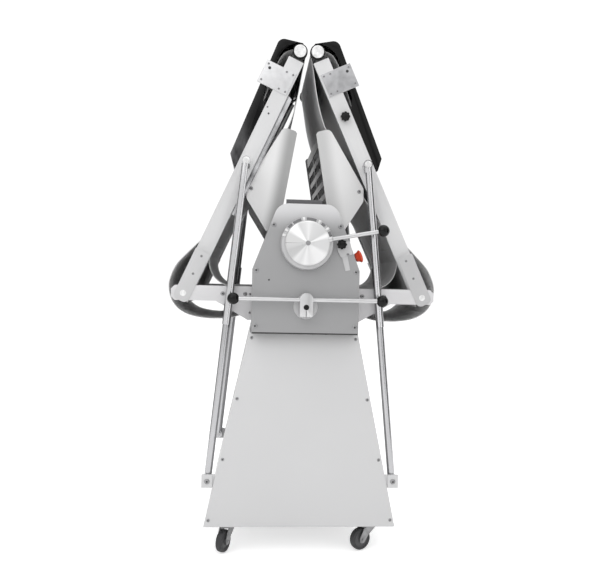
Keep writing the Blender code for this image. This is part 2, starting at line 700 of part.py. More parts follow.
def make_thickness_control():
    """The notched ring on the cover, and the hand lever with its disc that sets the roller opening."""
    ring = tube_y(0, DIAL_Z, -0.412, -COVER_OUTER_Y - GAP, 0.0160, SCALE_RADIUS, 48)
    for i in range(13):
        angle = math.radians(-6 + 16 * i)
        x = 0.083 * math.cos(angle)
        z = DIAL_Z + 0.083 * math.sin(angle)
        cut(ring, bar_y(x, z, -0.42, -0.400, 0.0048, 8))
    finish(ring, "thickness_ring", CAST)
    y = -0.4250
    profile = [(0, -0.4400), (0.012, -0.4400), (0.012, -0.4352), (0.066, -0.4352), (DIAL_RADIUS, -0.4325)]
    profile += [(DIAL_RADIUS, -0.4123), (0.012, -0.4123), (0.012, -0.3290), (0, -0.3290)]
    lever = lathe(profile, (0, 0, DIAL_Z), (0, 1, 0), 40)
    join(lever, bar_y(0.006, DIAL_Z + 0.001, -0.3440, -0.3275, 0.021, 22))
    way = Vector((math.cos(LEVER_TILT), 0, math.sin(LEVER_TILT)))
    hub = Vector((0, y, DIAL_Z))
    join(lever, bar(hub + way * 0.060, hub + way * (LEVER_REACH - 0.010), 0.0063, 16))
    finish(lever, "thickness_lever", CAST)
    knob = ball(hub + way * LEVER_REACH, BALL_RADIUS)
    cut(knob, bar(hub + way * 0.20, hub + way * (LEVER_REACH - 0.0097), 0.0066, 16))
    finish(knob, "thickness_ball_knob", BLACK)


def make_direction_control():
    """The wide lever that starts the belts and picks their direction."""
    flange = tube_y(0, DIRECTION_Z, -0.3920, -COVER_OUTER_Y - GAP, 0.0103, 0.0385, 28)
    finish(flange, "direction_flange", PAINT_GREY)
    y = -0.4100
    lever = box(-0.0205, 0.0205, y - 0.014, y + 0.014, 0.776, 0.850)
    left_end = 0.012 - DIRECTION_REACH[-1]
    right_end = DIRECTION_REACH[1] - 0.012
    join(lever, bar((left_end, y, DIRECTION_ROD_Z), (right_end, y, DIRECTION_ROD_Z), 0.0068, 16))
    join(lever, bar_y(0, DIRECTION_Z, y, -0.345, 0.0100, 20))
    cut(lever, box(-0.0012, 0.0012, y - 0.02, y + 0.02, 0.77, 0.794))
    finish(lever, "direction_lever", STEEL)
    for side in (-1, 1):
        reach = DIRECTION_REACH[side]
        knob = ball((side * reach, y, DIRECTION_ROD_Z), BALL_RADIUS)
        hole_end = side * (reach - 0.0117)
        hole = bar((side * (reach - 0.04), y, DIRECTION_ROD_Z), (hole_end, y, DIRECTION_ROD_Z), 0.0071, 16)
        cut(knob, hole)
        finish(knob, SIDE_NAMES[side] + "_direction_knob", BLACK)


def make_limit_stop():
    """The stop bracket beside the dial, with its star knob."""
    plate = [(0.094, 1.016), (0.094, 0.990), (0.112, 0.950), (0.128, 0.918), (0.140, 0.922), (0.131, 0.955)]
    plate += [(0.147, 0.961), (0.138, 0.996), (0.124, 1.018)]
    bracket = prism(plate, -0.3883, -COVER_OUTER_Y - GAP)
    cut(bracket, bar_y(0.109, 1.005, -0.40, -0.38, 0.0045, 12))
    finish(bracket, "stop_bracket", STEEL)
    knob = prism(star_outline(0.0158, 0.109, 1.005), -0.4075, -0.3940)
    join(knob, bar_y(0.109, 1.005, -0.3960, -0.3886, 0.0085, 16))
    join(knob, bar_y(0.109, 1.005, -0.3900, -0.3857, 0.0040, 12))
    finish(knob, "stop_star_knob", BLACK)


def slope_normal():
    """Outward (x, z) of the head's right shoulder."""
    along = Vector((SHOULDER_HALF + 0.006 - HEAD_HALF, SHOULDER_TOP_Z - 0.016 - SHOULDER_Z)).normalized()
    return Vector((along.y, -along.x))


def make_emergency_stop():
    normal = slope_normal()
    slope_top = Vector((SHOULDER_HALF + 0.006, SHOULDER_TOP_Z - 0.016))
    spot = Vector((HEAD_HALF, SHOULDER_Z)).lerp(slope_top, 0.27)
    y = -0.338
    start = Vector((spot.x + normal.x * GAP, y, spot.y + normal.y * GAP))
    axis = Vector((normal.x, 0, normal.y))
    collar = lathe([(0.0083, 0), (0.0155, 0), (0.0155, 0.009), (0.0083, 0.009)], start, axis, 20, ring=True)
    finish(collar, "stop_button_collar", BLACK)
    profile = [(0, 0.0048), (0.008, 0.0048), (0.008, 0.014), (0.0185, 0.0150), (0.0203, 0.0185)]
    profile += [(0.0190, 0.0240), (0.0120, 0.0285), (0, 0.0300)]
    finish(lathe(profile, start, axis, 20), "stop_button", RED)


def make_cable_gland():
    profile = [(0.006, 0), (0.016, 0), (0.016, 0.008), (0.012, 0.010), (0.011, 0.026), (0.006, 0.026)]
    gland = lathe(profile, (0.13, BASE_HALF_DEPTH + GAP, 0.16), (0, 1, 0), 20, ring=True)
    finish(gland, "cable_gland", BLACK)


def make_caster(side, end):
    pivot = Vector((side * CASTER_X, end * CASTER_Y, 0))
    turn = Matrix.Rotation(math.radians(CASTER_TURNS[side, end]), 3, "Z")
    axle = Vector((CASTER_TRAIL, 0, WHEEL_RADIUS))
    name = SIDE_NAMES[side] + "_" + END_NAMES[end] + "_caster_"
    profile = [(0.0063, 0.0735), (0.0250, 0.0735), (0.0250, 0.0800), (0.0190, 0.0857), (0.0063, 0.0857)]
    fork = lathe(profile, (0, 0, 0), (0, 0, 1), 24, ring=True)
    for face in (-1, 1):
        outline = [(-0.020, 0.0760), (0.024, 0.0760), (0.042, 0.038), (0.037, 0.027), (0.027, 0.027)]
        outline += [(0.014, 0.042)]
        leg = prism(outline, *ordered(face * 0.0150, face * 0.0180))
        join(fork, leg)
    join(fork, bar((axle.x, -0.0205, axle.z), (axle.x, 0.0205, axle.z), 0.0045, 12))
    side_radius = WHEEL_RADIUS - 0.0050
    edge_radius = WHEEL_RADIUS - 0.0015
    wheel_profile = [(0.0048, -0.0135), (0.0120, -0.0135), (0.0125, -0.0110), (side_radius, -0.0110)]
    wheel_profile += [(edge_radius, -0.0095), (WHEEL_RADIUS, -0.0040), (WHEEL_RADIUS, 0.0040)]
    wheel_profile += [(edge_radius, 0.0095), (side_radius, 0.0110), (0.0125, 0.0110)]
    wheel_profile += [(0.0120, 0.0135), (0.0048, 0.0135)]
    wheel = lathe(wheel_profile, axle, (0, 1, 0), 24, ring=True)
    for obj in (fork, wheel):
        for vertex in obj.data.vertices:
            vertex.co = turn @ vertex.co + pivot
    finish(fork, name + "fork", STEEL)
    finish(wheel, name + "wheel", BLACK)


def set_pivot(name, point):
    """Puts a moving piece's origin on its joint axis."""
    obj = bpy.data.objects[name]
    obj.data.transform(Matrix.Translation(-Vector(point)))
    obj.location = point


def set_pivots():
    for side in (-1, 1):
        word = SIDE_NAMES[side]
        hinge = (side * HINGE_X, 0, HINGE_Z)
        tip_x, tip_z = on_table(side, TABLE_LENGTH, 0)
        pin_x, pin_z = on_table(side, STRUT_U, 0)
        set_pivot(word + "_table_frame", hinge)
        set_pivot(word + "_catch_tray", hinge)
        set_pivot(word + "_end_roller", (tip_x, 0, tip_z))
        set_pivot(word + "_drive_roller", (side * DRIVE_X, 0, DRIVE_Z))
        set_pivot(word + "_guard", (side * GUARD_X, 0, GUARD_Z))
        set_pivot(word + "_direction_knob", (0, 0, DIRECTION_Z))
        for end in (-1, 1):
            place = word + "_" + END_NAMES[end]
            set_pivot(place + "_strut_sleeve", (pin_x, end * STRUT_Y, pin_z))
            set_pivot(place + "_strut_rod", (side * STRUT_FOOT_X, end * STRUT_Y, STRUT_FOOT_Z))
            turn = math.radians(CASTER_TURNS[side, end])
            x = side * CASTER_X
            y = end * CASTER_Y
            axle = (x + CASTER_TRAIL * math.cos(turn), y + CASTER_TRAIL * math.sin(turn), WHEEL_RADIUS)
            set_pivot(place + "_caster_fork", (x, y, 0))
            set_pivot(place + "_caster_wheel", axle)
    lock_x, lock_z = on_table(1, 0.649, 0)
    set_pivot("table_lock_knob", (lock_x, -0.29, lock_z))
    set_pivot("lower_sheeting_roller", (0, 0, LOWER_ROLLER_Z))
    set_pivot("roller_pulley", (0, 0, LOWER_ROLLER_Z))
    set_pivot("upper_sheeting_roller", (0, 0, UPPER_ROLLER_Z))
    set_pivot("roller_carriage", (0, 0, UPPER_ROLLER_Z))
    set_pivot("motor_pulley", (0, 0, MOTOR_Z))
    set_pivot("thickness_lever", (0, 0, DIAL_Z))
    set_pivot("thickness_ball_knob", (0, 0, DIAL_Z))
    set_pivot("direction_lever", (0, 0, DIRECTION_Z))
    set_pivot("stop_star_knob", (0.109, -0.40, 1.005))


def main():
    clear_scene()
    make_base_frame()
    make_base_panels()
    make_side_frames()
    make_covers()
    make_head_top()
    make_arm_frames()
    make_sheeting_rollers()
    make_roller_carriage()
    make_lower_scraper()
    make_drive_rollers()
    make_drive()
    make_struts()
    make_tables()
    make_table_lock_knob()
    make_belts()
    make_guards()
    make_thickness_control()
    make_direction_control()
    make_limit_stop()
    make_emergency_stop()
    make_cable_gland()
    for side in (-1, 1):
        for end in (-1, 1):
            make_caster(side, end)
    set_pivots()
    for obj in bpy.data.objects:
        obj.location.y += CENTRE_SHIFT


main()
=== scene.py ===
import math

import bmesh
import bpy
from mathutils import Matrix, Vector


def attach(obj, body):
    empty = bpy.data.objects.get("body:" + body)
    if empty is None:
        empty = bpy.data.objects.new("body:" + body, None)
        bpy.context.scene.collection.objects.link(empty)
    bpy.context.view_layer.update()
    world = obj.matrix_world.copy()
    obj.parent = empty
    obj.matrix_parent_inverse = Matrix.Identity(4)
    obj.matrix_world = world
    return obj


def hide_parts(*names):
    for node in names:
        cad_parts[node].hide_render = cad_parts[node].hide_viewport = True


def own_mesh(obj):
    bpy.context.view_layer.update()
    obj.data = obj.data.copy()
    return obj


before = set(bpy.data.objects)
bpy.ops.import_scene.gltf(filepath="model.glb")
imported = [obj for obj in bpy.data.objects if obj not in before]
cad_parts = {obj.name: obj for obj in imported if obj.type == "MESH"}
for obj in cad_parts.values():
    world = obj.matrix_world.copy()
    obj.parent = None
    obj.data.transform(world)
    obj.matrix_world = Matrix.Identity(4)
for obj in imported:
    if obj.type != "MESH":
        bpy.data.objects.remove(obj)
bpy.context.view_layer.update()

SHIFT = 0.0294  # from the y that the sizes below use to the frame's y
FOLD = math.radians(65.6)  # a folded table's lean from level
HINGE_X, HINGE_Z = 0.392, 0.840
TABLE_LENGTH = 0.879
STRUT_U = 0.472  # along a table, from its hinge to its strut pin
TABLE_ARM_Y, HOLDER_Y, STRAP_Y, STRUT_NUT_Y = 0.2780, 0.2820, 0.3066, 0.3332  # faces on a table's arm
BASE_FOOT, BASE_TOP = (0.310, 0.090), (0.174, 0.721)  # the base's half width at a height
PANEL_Y = 0.345
COVER_INNER_Y, COVER_OUTER_Y = 0.2812, 0.385
ARM_INSIDE_Y, ARM_OUTSIDE_Y = 0.27, 0.3058  # the slot through each cover for the fixed arms
SHOULDER, CROWN = (0.170, 0.922), (0.0908, 1.1305)  # the right corners of the head's outline
DIAL_Z = 1.005
DIRECTION_Z, DIRECTION_BAR_Y, DIRECTION_BAR_Z = 0.806, -0.4100, 0.829
DIRECTION_REACH = {-1: 0.227, 1: 0.240}
KNOB_RADIUS = 0.0188
DRIVE_X, DRIVE_Z = 0.078, 0.8355
BELT_HALF = 0.255
BED_V, RETURN_V = 0.0206, -0.0215  # the belt's two runs, above and below a table's middle line
CASTER_SPOT = (0.233, 0.285)
CASTER_TURNS = {(-1, -1): 245, (1, -1): 208, (-1, 1): 70, (1, 1): 115}
SIDES = {-1: "left", 1: "right"}
ENDS = {-1: "front", 1: "rear"}


# ---------------------------------------------------------------- materials

def new_material(name):
    material = bpy.data.materials.new(name)
    material.use_nodes = True
    tree = material.node_tree
    return material, tree, tree.nodes["Principled BSDF"]


def wire(tree, node, inputs):
    """Sets each named input of a node to a value, or links it from a socket."""
    for key, value in inputs.items():
        if isinstance(value, bpy.types.NodeSocket):
            tree.links.new(value, node.inputs[key])
        else:
            node.inputs[key].default_value = value
    return node


def add_node(tree, kind, inputs, **settings):
    node = tree.nodes.new("ShaderNode" + kind)
    for key, value in settings.items():
        setattr(node, key, value)
    return wire(tree, node, inputs)


def object_coords(tree):
    """Positions in the machine's frame, as each mesh holds them."""
    return add_node(tree, "TexCoord", {}).outputs["Object"]


def add_relief(tree, shader, height, strength, distance):
    relief = add_node(tree, "Bump", {"Strength": strength, "Distance": distance, "Height": height})
    wire(tree, shader, {"Normal": relief.outputs["Normal"]})


def tinted(name, colour, rough, metal=0.0, vary=0.04, scale=6.0, bump=0.02, grain=400.0,
           coat=0.0, stretch=(1, 1, 1), specular=0.5):
    """A finish whose tone and gloss wander slightly over the surface, with a fine grain."""
    material, tree, shader = new_material(name)
    mapping = add_node(tree, "Mapping", {"Scale": stretch, "Vector": object_coords(tree)})
    spot = mapping.outputs["Vector"]
    cloud = add_node(tree, "TexNoise", {"Scale": scale, "Detail": 4, "Vector": spot}).outputs["Fac"]
    ramp = add_node(tree, "ValToRGB", {"Fac": cloud})
    low = [max(0, c * (1 - vary)) for c in colour]
    high = [min(1, c * (1 + vary)) for c in colour]
    for element, position, tone in zip(ramp.color_ramp.elements, (0.3, 0.7), (low, high)):
        element.position = position
        element.color = (*tone, 1)
    gloss_range = {"To Min": max(0.02, rough - 0.06), "To Max": min(1, rough + 0.06), "Value": cloud}
    gloss = add_node(tree, "MapRange", gloss_range)
    wire(tree, shader, {"Base Color": ramp.outputs["Color"], "Roughness": gloss.outputs["Result"],
                        "Metallic": metal, "Specular IOR Level": specular, "Coat Weight": coat})
    fine = add_node(tree, "TexNoise", {"Scale": grain, "Detail": 2, "Vector": spot})
    add_relief(tree, shader, fine.outputs["Fac"], bump, 0.001)
    return material


def multiply_colour(material, tone):
    """Multiplies the finish's colour by what a socket gives."""
    tree = material.node_tree
    shader = tree.nodes["Principled BSDF"]
    source = shader.inputs["Base Color"].links[0].from_socket
    shade = add_node(tree, "Mix", {}, data_type="RGBA", blend_type="MULTIPLY")
    wire(tree, shade, {"Factor": 1, "A": source, "B": tone})
    wire(tree, shader, {"Base Color": shade.outputs["Result"]})
    return material


def add_height_shade(material, z_low, z_high, low, high):
    """Multiplies the finish's colour by a tone that changes with height."""
    tree = material.node_tree
    split = add_node(tree, "SeparateXYZ", {"Vector": object_coords(tree)})
    limits = {"From Min": z_low, "From Max": z_high, "To Min": low, "To Max": high,
              "Value": split.outputs["Z"]}
    span = add_node(tree, "MapRange", limits, interpolation_type="SMOOTHSTEP")
    return multiply_colour(material, span.outputs["Result"])


def mixed_by(material, make_distance, first, second, low, high):
    """Multiplies the finish's colour by a blend of two tones that follows a position."""
    tree = material.node_tree
    position = make_distance(tree, object_coords(tree))
    limits = {"From Min": low, "From Max": high, "Value": position}
    span = add_node(tree, "MapRange", limits, interpolation_type="SMOOTHSTEP")
    tones = add_node(tree, "Mix", {}, data_type="RGBA")
    wire(tree, tones, {"A": (*first, 1), "B": (*second, 1), "Factor": span.outputs["Result"]})
    return multiply_colour(material, tones.outputs["Result"])


def along(direction, offset):
    """Makes a socket: the distance along a direction, past an offset."""
    def build(tree, coords):
        dot = add_node(tree, "VectorMath", {0: coords, 1: direction}, operation="DOT_PRODUCT")
        less = add_node(tree, "Math", {0: dot.outputs["Value"], 1: offset}, operation="SUBTRACT")
        return less.outputs["Value"]
    return build


def off_centre(tree, coords):
    """Makes a socket: the distance from the machine's middle plane, front to rear."""
    split = add_node(tree, "SeparateXYZ", {"Vector": coords})
    less = add_node(tree, "Math", {0: split.outputs["Y"], 1: SHIFT}, operation="SUBTRACT")
    return add_node(tree, "Math", {0: less.outputs["Value"]}, operation="ABSOLUTE").outputs["Value"]


# (degrees round the dial, tone) of the light and dark sectors on the faced disc: painted reflections
DISC_PAINTED_REFLECTION_TONES = [(-180, 0.66), (-166, 0.60), (-158, 0.54), (-138, 0.56), (-128, 0.78), (-112, 0.70),
              (-98, 0.84), (-84, 0.74), (-62, 0.84), (-34, 0.86), (-20, 0.68), (12, 0.68), (21, 0.95),
              (26, 0.93), (34, 0.64), (74, 0.70), (88, 0.84), (100, 0.74), (116, 0.66), (126, 0.98),
              (142, 1.0), (154, 0.66)]


def disc_with_painted_reflections(name):
    """Aluminium faced on a lathe, with painted reflections as light and dark sectors round the dial's centre,
    and fine rings.
    """
    material, tree, shader = new_material(name)
    coords = object_coords(tree)
    split = add_node(tree, "SeparateXYZ", {"Vector": coords})
    lift = add_node(tree, "Math", {0: split.outputs["Z"], 1: DIAL_Z}, operation="SUBTRACT")
    angle = add_node(tree, "Math", {0: lift.outputs["Value"], 1: split.outputs["X"]}, operation="ARCTAN2")
    limits = {"From Min": -math.pi, "From Max": math.pi, "Value": angle.outputs["Value"]}
    turn = add_node(tree, "MapRange", limits)
    ramp = add_node(tree, "ValToRGB", {"Fac": turn.outputs["Result"]})
    elements = ramp.color_ramp.elements
    for degrees, tone in DISC_PAINTED_REFLECTION_TONES[:-1]:
        elements.new((degrees + 180) / 360).color = (tone, tone, tone * 1.005, 1)
    degrees, tone = DISC_PAINTED_REFLECTION_TONES[-1]
    last = elements[len(elements) - 1]
    last.position = (degrees + 180) / 360
    last.color = (tone, tone, tone, 1)
    wire(tree, shader, {"Base Color": ramp.outputs["Color"], "Metallic": 0.25, "Roughness": 0.45})
    rings = add_node(tree, "TexNoise", {"Scale": 700, "Vector": coords})
    add_relief(tree, shader, rings.outputs["Fac"], 0.03, 0.0005)
    return material


LIGHT_PAINT = tinted("light_paint", (0.655, 0.655, 0.66), 0.42, vary=0.015, scale=3, bump=0.015, grain=900)
ARM_PAINT = tinted("arm_paint", (0.68, 0.675, 0.685), 0.40, vary=0.02, scale=4, bump=0.015, grain=900)
# The head covers' grey is multiplied up towards their top: painted light.
GREY_PAINT_WITH_PAINTED_LIGHT = add_height_shade(
    tinted("grey_paint_with_painted_light", (0.345, 0.345, 0.35), 0.45, vary=0.02, scale=5, bump=0.03, grain=1200),
    1.04, 1.125, 1.0, 1.95)
# Dark grey for the dial ring's notch marks: painted shade.
NOTCH_SHADE_GREY = tinted("notch_painted_shade", (0.20, 0.20, 0.205), 0.45, vary=0.05, scale=30)
RING_GREY = tinted("dial_ring_grey", (0.52, 0.52, 0.525), 0.36, metal=0.3, vary=0.05, scale=30)
FLANGE_PAINT = tinted("flange_paint", (0.53, 0.53, 0.535), 0.42, vary=0.03, scale=20)
DARK_PAINT = tinted("dark_paint", (0.10, 0.10, 0.105), 0.5, vary=0.05)
CAST = tinted("cast_iron_frame", (0.32, 0.32, 0.33), 0.5, metal=0.6, vary=0.1, scale=30, bump=0.15, grain=250)
STEEL = tinted("plain_steel", (0.56, 0.56, 0.57), 0.30, metal=1.0, vary=0.05, scale=12, stretch=(1, 1, 8))
ZINC = tinted("zinc_plate", (0.66, 0.66, 0.67), 0.40, metal=0.5, vary=0.06, scale=60, bump=0.05)
ZINC_PAINTED_SHADE = tinted("zinc_plate_painted_shade", (0.40, 0.40, 0.41), 0.36, metal=0.6, vary=0.16, scale=45, bump=0.05)
CHROME = tinted("chrome_tube", (0.56, 0.56, 0.57), 0.14, metal=1.0, vary=0.04, scale=9, bump=0.0)
ROD_CHROME = tinted("rod_chrome", (0.42, 0.42, 0.43), 0.16, metal=1.0, vary=0.05, scale=9, bump=0.0)
CHROME_PAINTED_SHADE = tinted("chrome_painted_shade", (0.20, 0.20, 0.205), 0.16, metal=1.0, vary=0.06, scale=9, bump=0.0)
ROLLER = tinted("ground_roller", (0.66, 0.66, 0.67), 0.18, metal=1.0, vary=0.03, scale=8, bump=0.01)
SATIN = tinted("satin_aluminium", (0.56, 0.56, 0.565), 0.33, metal=0.8, vary=0.05, scale=20, bump=0.03)
BRIGHT_END = tinted(
    "turned_end", (0.80, 0.80, 0.80), 0.38, metal=0.4, vary=0.18, scale=90, bump=0.10, grain=500)
BLACK_BALL = tinted(
    "black_phenolic", (0.004, 0.004, 0.004), 0.14, vary=0.2, scale=15, bump=0.0, specular=0.22)
BLACK_KNOB = tinted("black_knob", (0.006, 0.006, 0.006), 0.30, vary=0.2, scale=40, bump=0.03, specular=0.22)
TRAY_BLACK = tinted("tray_black", (0.006, 0.006, 0.006), 0.20, vary=0.15, scale=4, bump=0.01, specular=0.18)
BELT_FACE = tinted("belt_face", (0.60, 0.60, 0.60), 0.7, vary=0.04, scale=20, bump=0.12, grain=900)
BELT_TOP = tinted("belt_carrying_face", (0.56, 0.56, 0.565), 0.75, vary=0.05, scale=20, bump=0.12, grain=900)
BELT_EDGE = tinted("belt_cut_edge", (0.74, 0.74, 0.73), 0.7, vary=0.05, scale=60)
# The back of the outer belt strips is near white: painted light inside the loops.
BELT_BACK_PAINTED_LIGHT = tinted(
    "belt_back_painted_light", (0.95, 0.95, 0.95), 0.85, vary=0.08, scale=30, bump=0.25, grain=1100, specular=0.2)
RUN_BACK = tinted("belt_run_back", (0.38, 0.38, 0.385), 0.85, vary=0.08, scale=30, bump=0.25, grain=1100)
RUBBER = tinted("rubber", (0.03, 0.03, 0.032), 0.6, vary=0.15, scale=25, bump=0.06)
RED = tinted("stop_red", (0.70, 0.060, 0.016), 0.32, vary=0.06, scale=25, bump=0.01, coat=0.2)
# Darker than plain steel, so that each head reads as a dark disc: painted shade standing in for the shadow
# round the heads.
SCREW_STEEL_PAINTED_SHADE = tinted("screw_steel_painted_shade", (0.29, 0.29, 0.295), 0.34, metal=0.8, vary=0.12, scale=200, bump=0.03)
# Near black for screw sockets, holes and the gap under the covers: painted shade.
PAINTED_SHADE_DARK = tinted("painted_shade_dark", (0.03, 0.03, 0.03), 0.6, vary=0.1)
HUB_GREY = tinted("wheel_hub", (0.075, 0.075, 0.078), 0.5, vary=0.08, scale=40)


# ---------------------------------------------------------------- shapes

def add_mesh(name, bm, material, smooth=True, angle=35):
    bmesh.ops.remove_doubles(bm, verts=bm.verts, dist=1e-7)
    bmesh.ops.recalc_face_normals(bm, faces=bm.faces)
    mesh = bpy.data.meshes.new(name)
    bm.to_mesh(mesh)
    bm.free()
    if smooth:
        for face in mesh.polygons:
            face.use_smooth = True
        mesh.set_sharp_from_angle(angle=math.radians(angle))
    obj = bpy.data.objects.new(name, mesh)
    obj.data.materials.append(material)
    bpy.context.scene.collection.objects.link(obj)
    return obj


def shifted(y):
    return y + SHIFT


def prism_into(bm, outline, y0, y1, bevel=0.0, segments=2):
    """Thickens an (x, z) outline from y0 to y1, with rounded rims."""
    part = bmesh.new()
    near = [part.verts.new((x, shifted(y0), z)) for x, z in outline]
    far = [part.verts.new((x, shifted(y1), z)) for x, z in outline]
    part.faces.new(near)
    part.faces.new(far[::-1])
    for i in range(len(outline)):
        j = (i + 1) % len(outline)
        part.faces.new((near[i], near[j], far[j], far[i]))
    bmesh.ops.recalc_face_normals(part, faces=part.faces)
    if bevel:
        rims = [e for e in part.edges if abs(e.verts[0].co.y - e.verts[1].co.y) < 1e-7]
        bmesh.ops.bevel(part, geom=rims, offset=bevel, segments=segments, profile=0.5, affect="EDGES")
    absorb(bm, part)


def absorb(bm, part):
    mesh = bpy.data.meshes.new("tmp")
    part.to_mesh(mesh)
    part.free()
    bm.from_mesh(mesh)
    bpy.data.meshes.remove(mesh)


def lathe_into(bm, profile, origin, axis, steps, ring=False):
    """Turns (radius, along) points round an axis through origin."""
    direction = Vector(axis).normalized()
    turn = direction.to_track_quat("Z", "Y").to_matrix()
    rows = []
    for radius, along in profile:
        row = []
        for step in range(steps):
            angle = 2 * math.pi * step / steps
            place = turn @ Vector((radius * math.cos(angle), radius * math.sin(angle), along))
            row.append(place + Vector(origin))
        rows.append([bm.verts.new(row[0])] * steps if radius == 0 else [bm.verts.new(p) for p in row])
    pairs = list(zip(rows, rows[1:]))
    if ring:
        pairs.append((rows[-1], rows[0]))
    for low, high in pairs:
        for i in range(steps):
            j = (i + 1) % steps
            corners = []
            for corner in (low[i], low[j], high[j], high[i]):
                if corner not in corners:
                    corners.append(corner)
            if len(corners) > 2:
                bm.faces.new(corners)


def lathe_y_into(bm, profile, x, z, steps, ring=False):
    """Turns (radius, y) points round a line along Y."""
    lathe_into(bm, [(r, shifted(y)) for r, y in profile], (x, 0, z), (0, 1, 0), steps, ring)


def lathe_y(name, profile, x, z, material, steps=64, ring=False, angle=35):
    bm = bmesh.new()
    lathe_y_into(bm, profile, x, z, steps, ring)
    return add_mesh(name, bm, material, angle=angle)


def disc_into(bm, spot, axis, radius, low, high, steps):
    """A plain disc round an axis, from low to high along it."""
    lathe_into(bm, [(0, low), (radius, low), (radius, high), (0, high)], spot, axis, steps)


def tube_y(low, high, inner, outer):
    """The (radius, y) profile of a ring, from low to high along Y."""
    return [(inner, low), (outer, low), (outer, high), (inner, high)]


def rod_into(bm, start, stop, radius, steps=32, rim=0.0008):
    start, stop = Vector(start), Vector(stop)
    length = (stop - start).length
    profile = [(0, 0), (radius - rim, 0), (radius, rim), (radius, length - rim), (radius - rim, length)]
    profile.append((0, length))
    lathe_into(bm, profile, start, stop - start, steps)


def box_into(bm, low, high, bevel=0.0):
    x0, y0, z0 = low
    x1, y1, z1 = high
    prism_into(bm, [(x0, z0), (x1, z0), (x1, z1), (x0, z1)], y0, y1, bevel)


def rounded(points, radius, steps=5):
    """An outline with its corners turned into arcs."""
    out = []
    count = len(points)
    for i in range(count):
        a, b, c = Vector(points[i - 1]), Vector(points[i]), Vector(points[(i + 1) % count])
        r = radius[i] if isinstance(radius, (list, tuple)) else radius
        if r <= 0:
            out.append(tuple(b))
            continue
        u, v = (a - b).normalized(), (c - b).normalized()
        half = u.angle(v) / 2
        reach = min(r / math.tan(half), (a - b).length * 0.49, (c - b).length * 0.49)
        centre = b + (u + v).normalized() * (reach / math.cos(half))
        p, q = b + u * reach, b + v * reach
        start, stop = p - centre, q - centre
        for step in range(steps + 1):
            t = step / steps
            turn = Matrix.Rotation(-start.angle_signed(stop) * t, 2)
            out.append(tuple(centre + turn @ start))
    return out


def on_table(side, u, v):
    """The (x, z) of a point u along a folded table from its hinge, and v above it once it is level."""
    x = HINGE_X - u * math.cos(FOLD) - v * math.sin(FOLD)
    return side * x, HINGE_Z + u * math.sin(FOLD) - v * math.cos(FOLD)


def table_outline(side, points):
    return [on_table(side, u, v) for u, v in points]


def spots_on_table(side, points, y):
    return [(x, y, z) for x, z in table_outline(side, points)]


def place(obj, body, *nodes):
    """Puts a piece on a body, in place of the CAD nodes named."""
    if nodes:
        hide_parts(*nodes)
    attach(obj, body)
    return obj


def screws(name, spots, body, radius=0.0048, height=0.0024, facing=(0, -1, 0)):
    """Button-head screws, each at an (x, y, z) on the surface, with a dark disc in its middle: painted shade
    in the socket.
    """
    way = Vector(facing).normalized()
    heads, sockets = bmesh.new(), bmesh.new()
    for x, y, z in spots:
        base = Vector((x, shifted(y), z))
        profile = [(0, 0), (radius, 0), (radius, height * 0.35), (radius * 0.82, height * 0.8),
                   (radius * 0.5, height), (0, height)]
        lathe_into(heads, profile, base, way, 20)
        disc_into(sockets, base, way, radius * 0.42, height * 0.9, height * 1.06, 6)
    head = add_mesh(name, heads, SCREW_STEEL_PAINTED_SHADE)
    socket = add_mesh(name + "_sockets", sockets, PAINTED_SHADE_DARK)
    for obj in (head, socket):
        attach(obj, body)


def dress(node, material, bevel=0.0):
    """Keeps a CAD node, smooths its round faces and gives it a finish."""
    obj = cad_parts[node]
    weld = obj.modifiers.new("weld", "WELD")
    weld.merge_threshold = 2e-5
    if bevel:
        rim = obj.modifiers.new("rim", "BEVEL")
        rim.width = bevel
        rim.segments = 2
        rim.limit_method = "ANGLE"
        rim.angle_limit = math.radians(50)
        rim.use_clamp_overlap = True
    split = obj.modifiers.new("split", "EDGE_SPLIT")
    split.split_angle = math.radians(34)
    for face in obj.data.polygons:
        face.use_smooth = True
    obj.data.materials.clear()
    obj.data.materials.append(material)


def end_box(x0, x1, y0, y1, z0, z1, end, bevel=0.0):
    """A box whose y runs from y0 to y1 on the front or the rear half."""
    bm = bmesh.new()
    box_into(bm, (x0, min(end * y0, end * y1), z0), (x1, max(end * y0, end * y1), z1), bevel)
    return bm


def base_half(z):
    """The base's half width at a height."""
    share = (z - BASE_FOOT[1]) / (BASE_TOP[1] - BASE_FOOT[1])
    return BASE_FOOT[0] + share * (BASE_TOP[0] - BASE_FOOT[0])


# ---------------------------------------------------------------- cabinet

def make_cabinet():
    dress("base_frame", LIGHT_PAINT)
    dress("base_front_panel", LIGHT_PAINT, 0.0012)
    dress("base_rear_panel", LIGHT_PAINT, 0.0012)
    for end in (-1, 1):
        spots = []
        for z in (0.702, 0.506, 0.310, 0.113):
            for side in (-1, 1):
                spots.append((side * (base_half(z) - 0.010), end * PANEL_Y, z))
        screws(ENDS[end] + "_panel_screws", spots, "machine", 0.0054, 0.0022, (0, end, 0))
        ears = [(side * 0.301, end * PANEL_Y, 0.239) for side in (-1, 1)]
        screws(ENDS[end] + "_ear_bolts", ears, "machine", 0.0085, 0.0045, (0, end, 0))


def make_gland():
    profile = [(0.0055, 0.3453), (0.0160, 0.3453), (0.0160, 0.3505), (0.0150, 0.3535), (0.0118, 0.3540),
               (0.0112, 0.3700), (0.0102, 0.3713), (0.0055, 0.3713)]
    gland = lathe_y("cable_gland_body", profile, 0.13, 0.16, BLACK_KNOB, 32, ring=True)
    place(gland, "machine", "cable_gland")


def head_outline(low=0.7235):
    right = [(SHOULDER[0], low), SHOULDER, CROWN]
    left = [(-x, z) for x, z in reversed(right)]
    return rounded(right + left, [0.001, 0.010, 0.045, 0.045, 0.010, 0.001], 10)


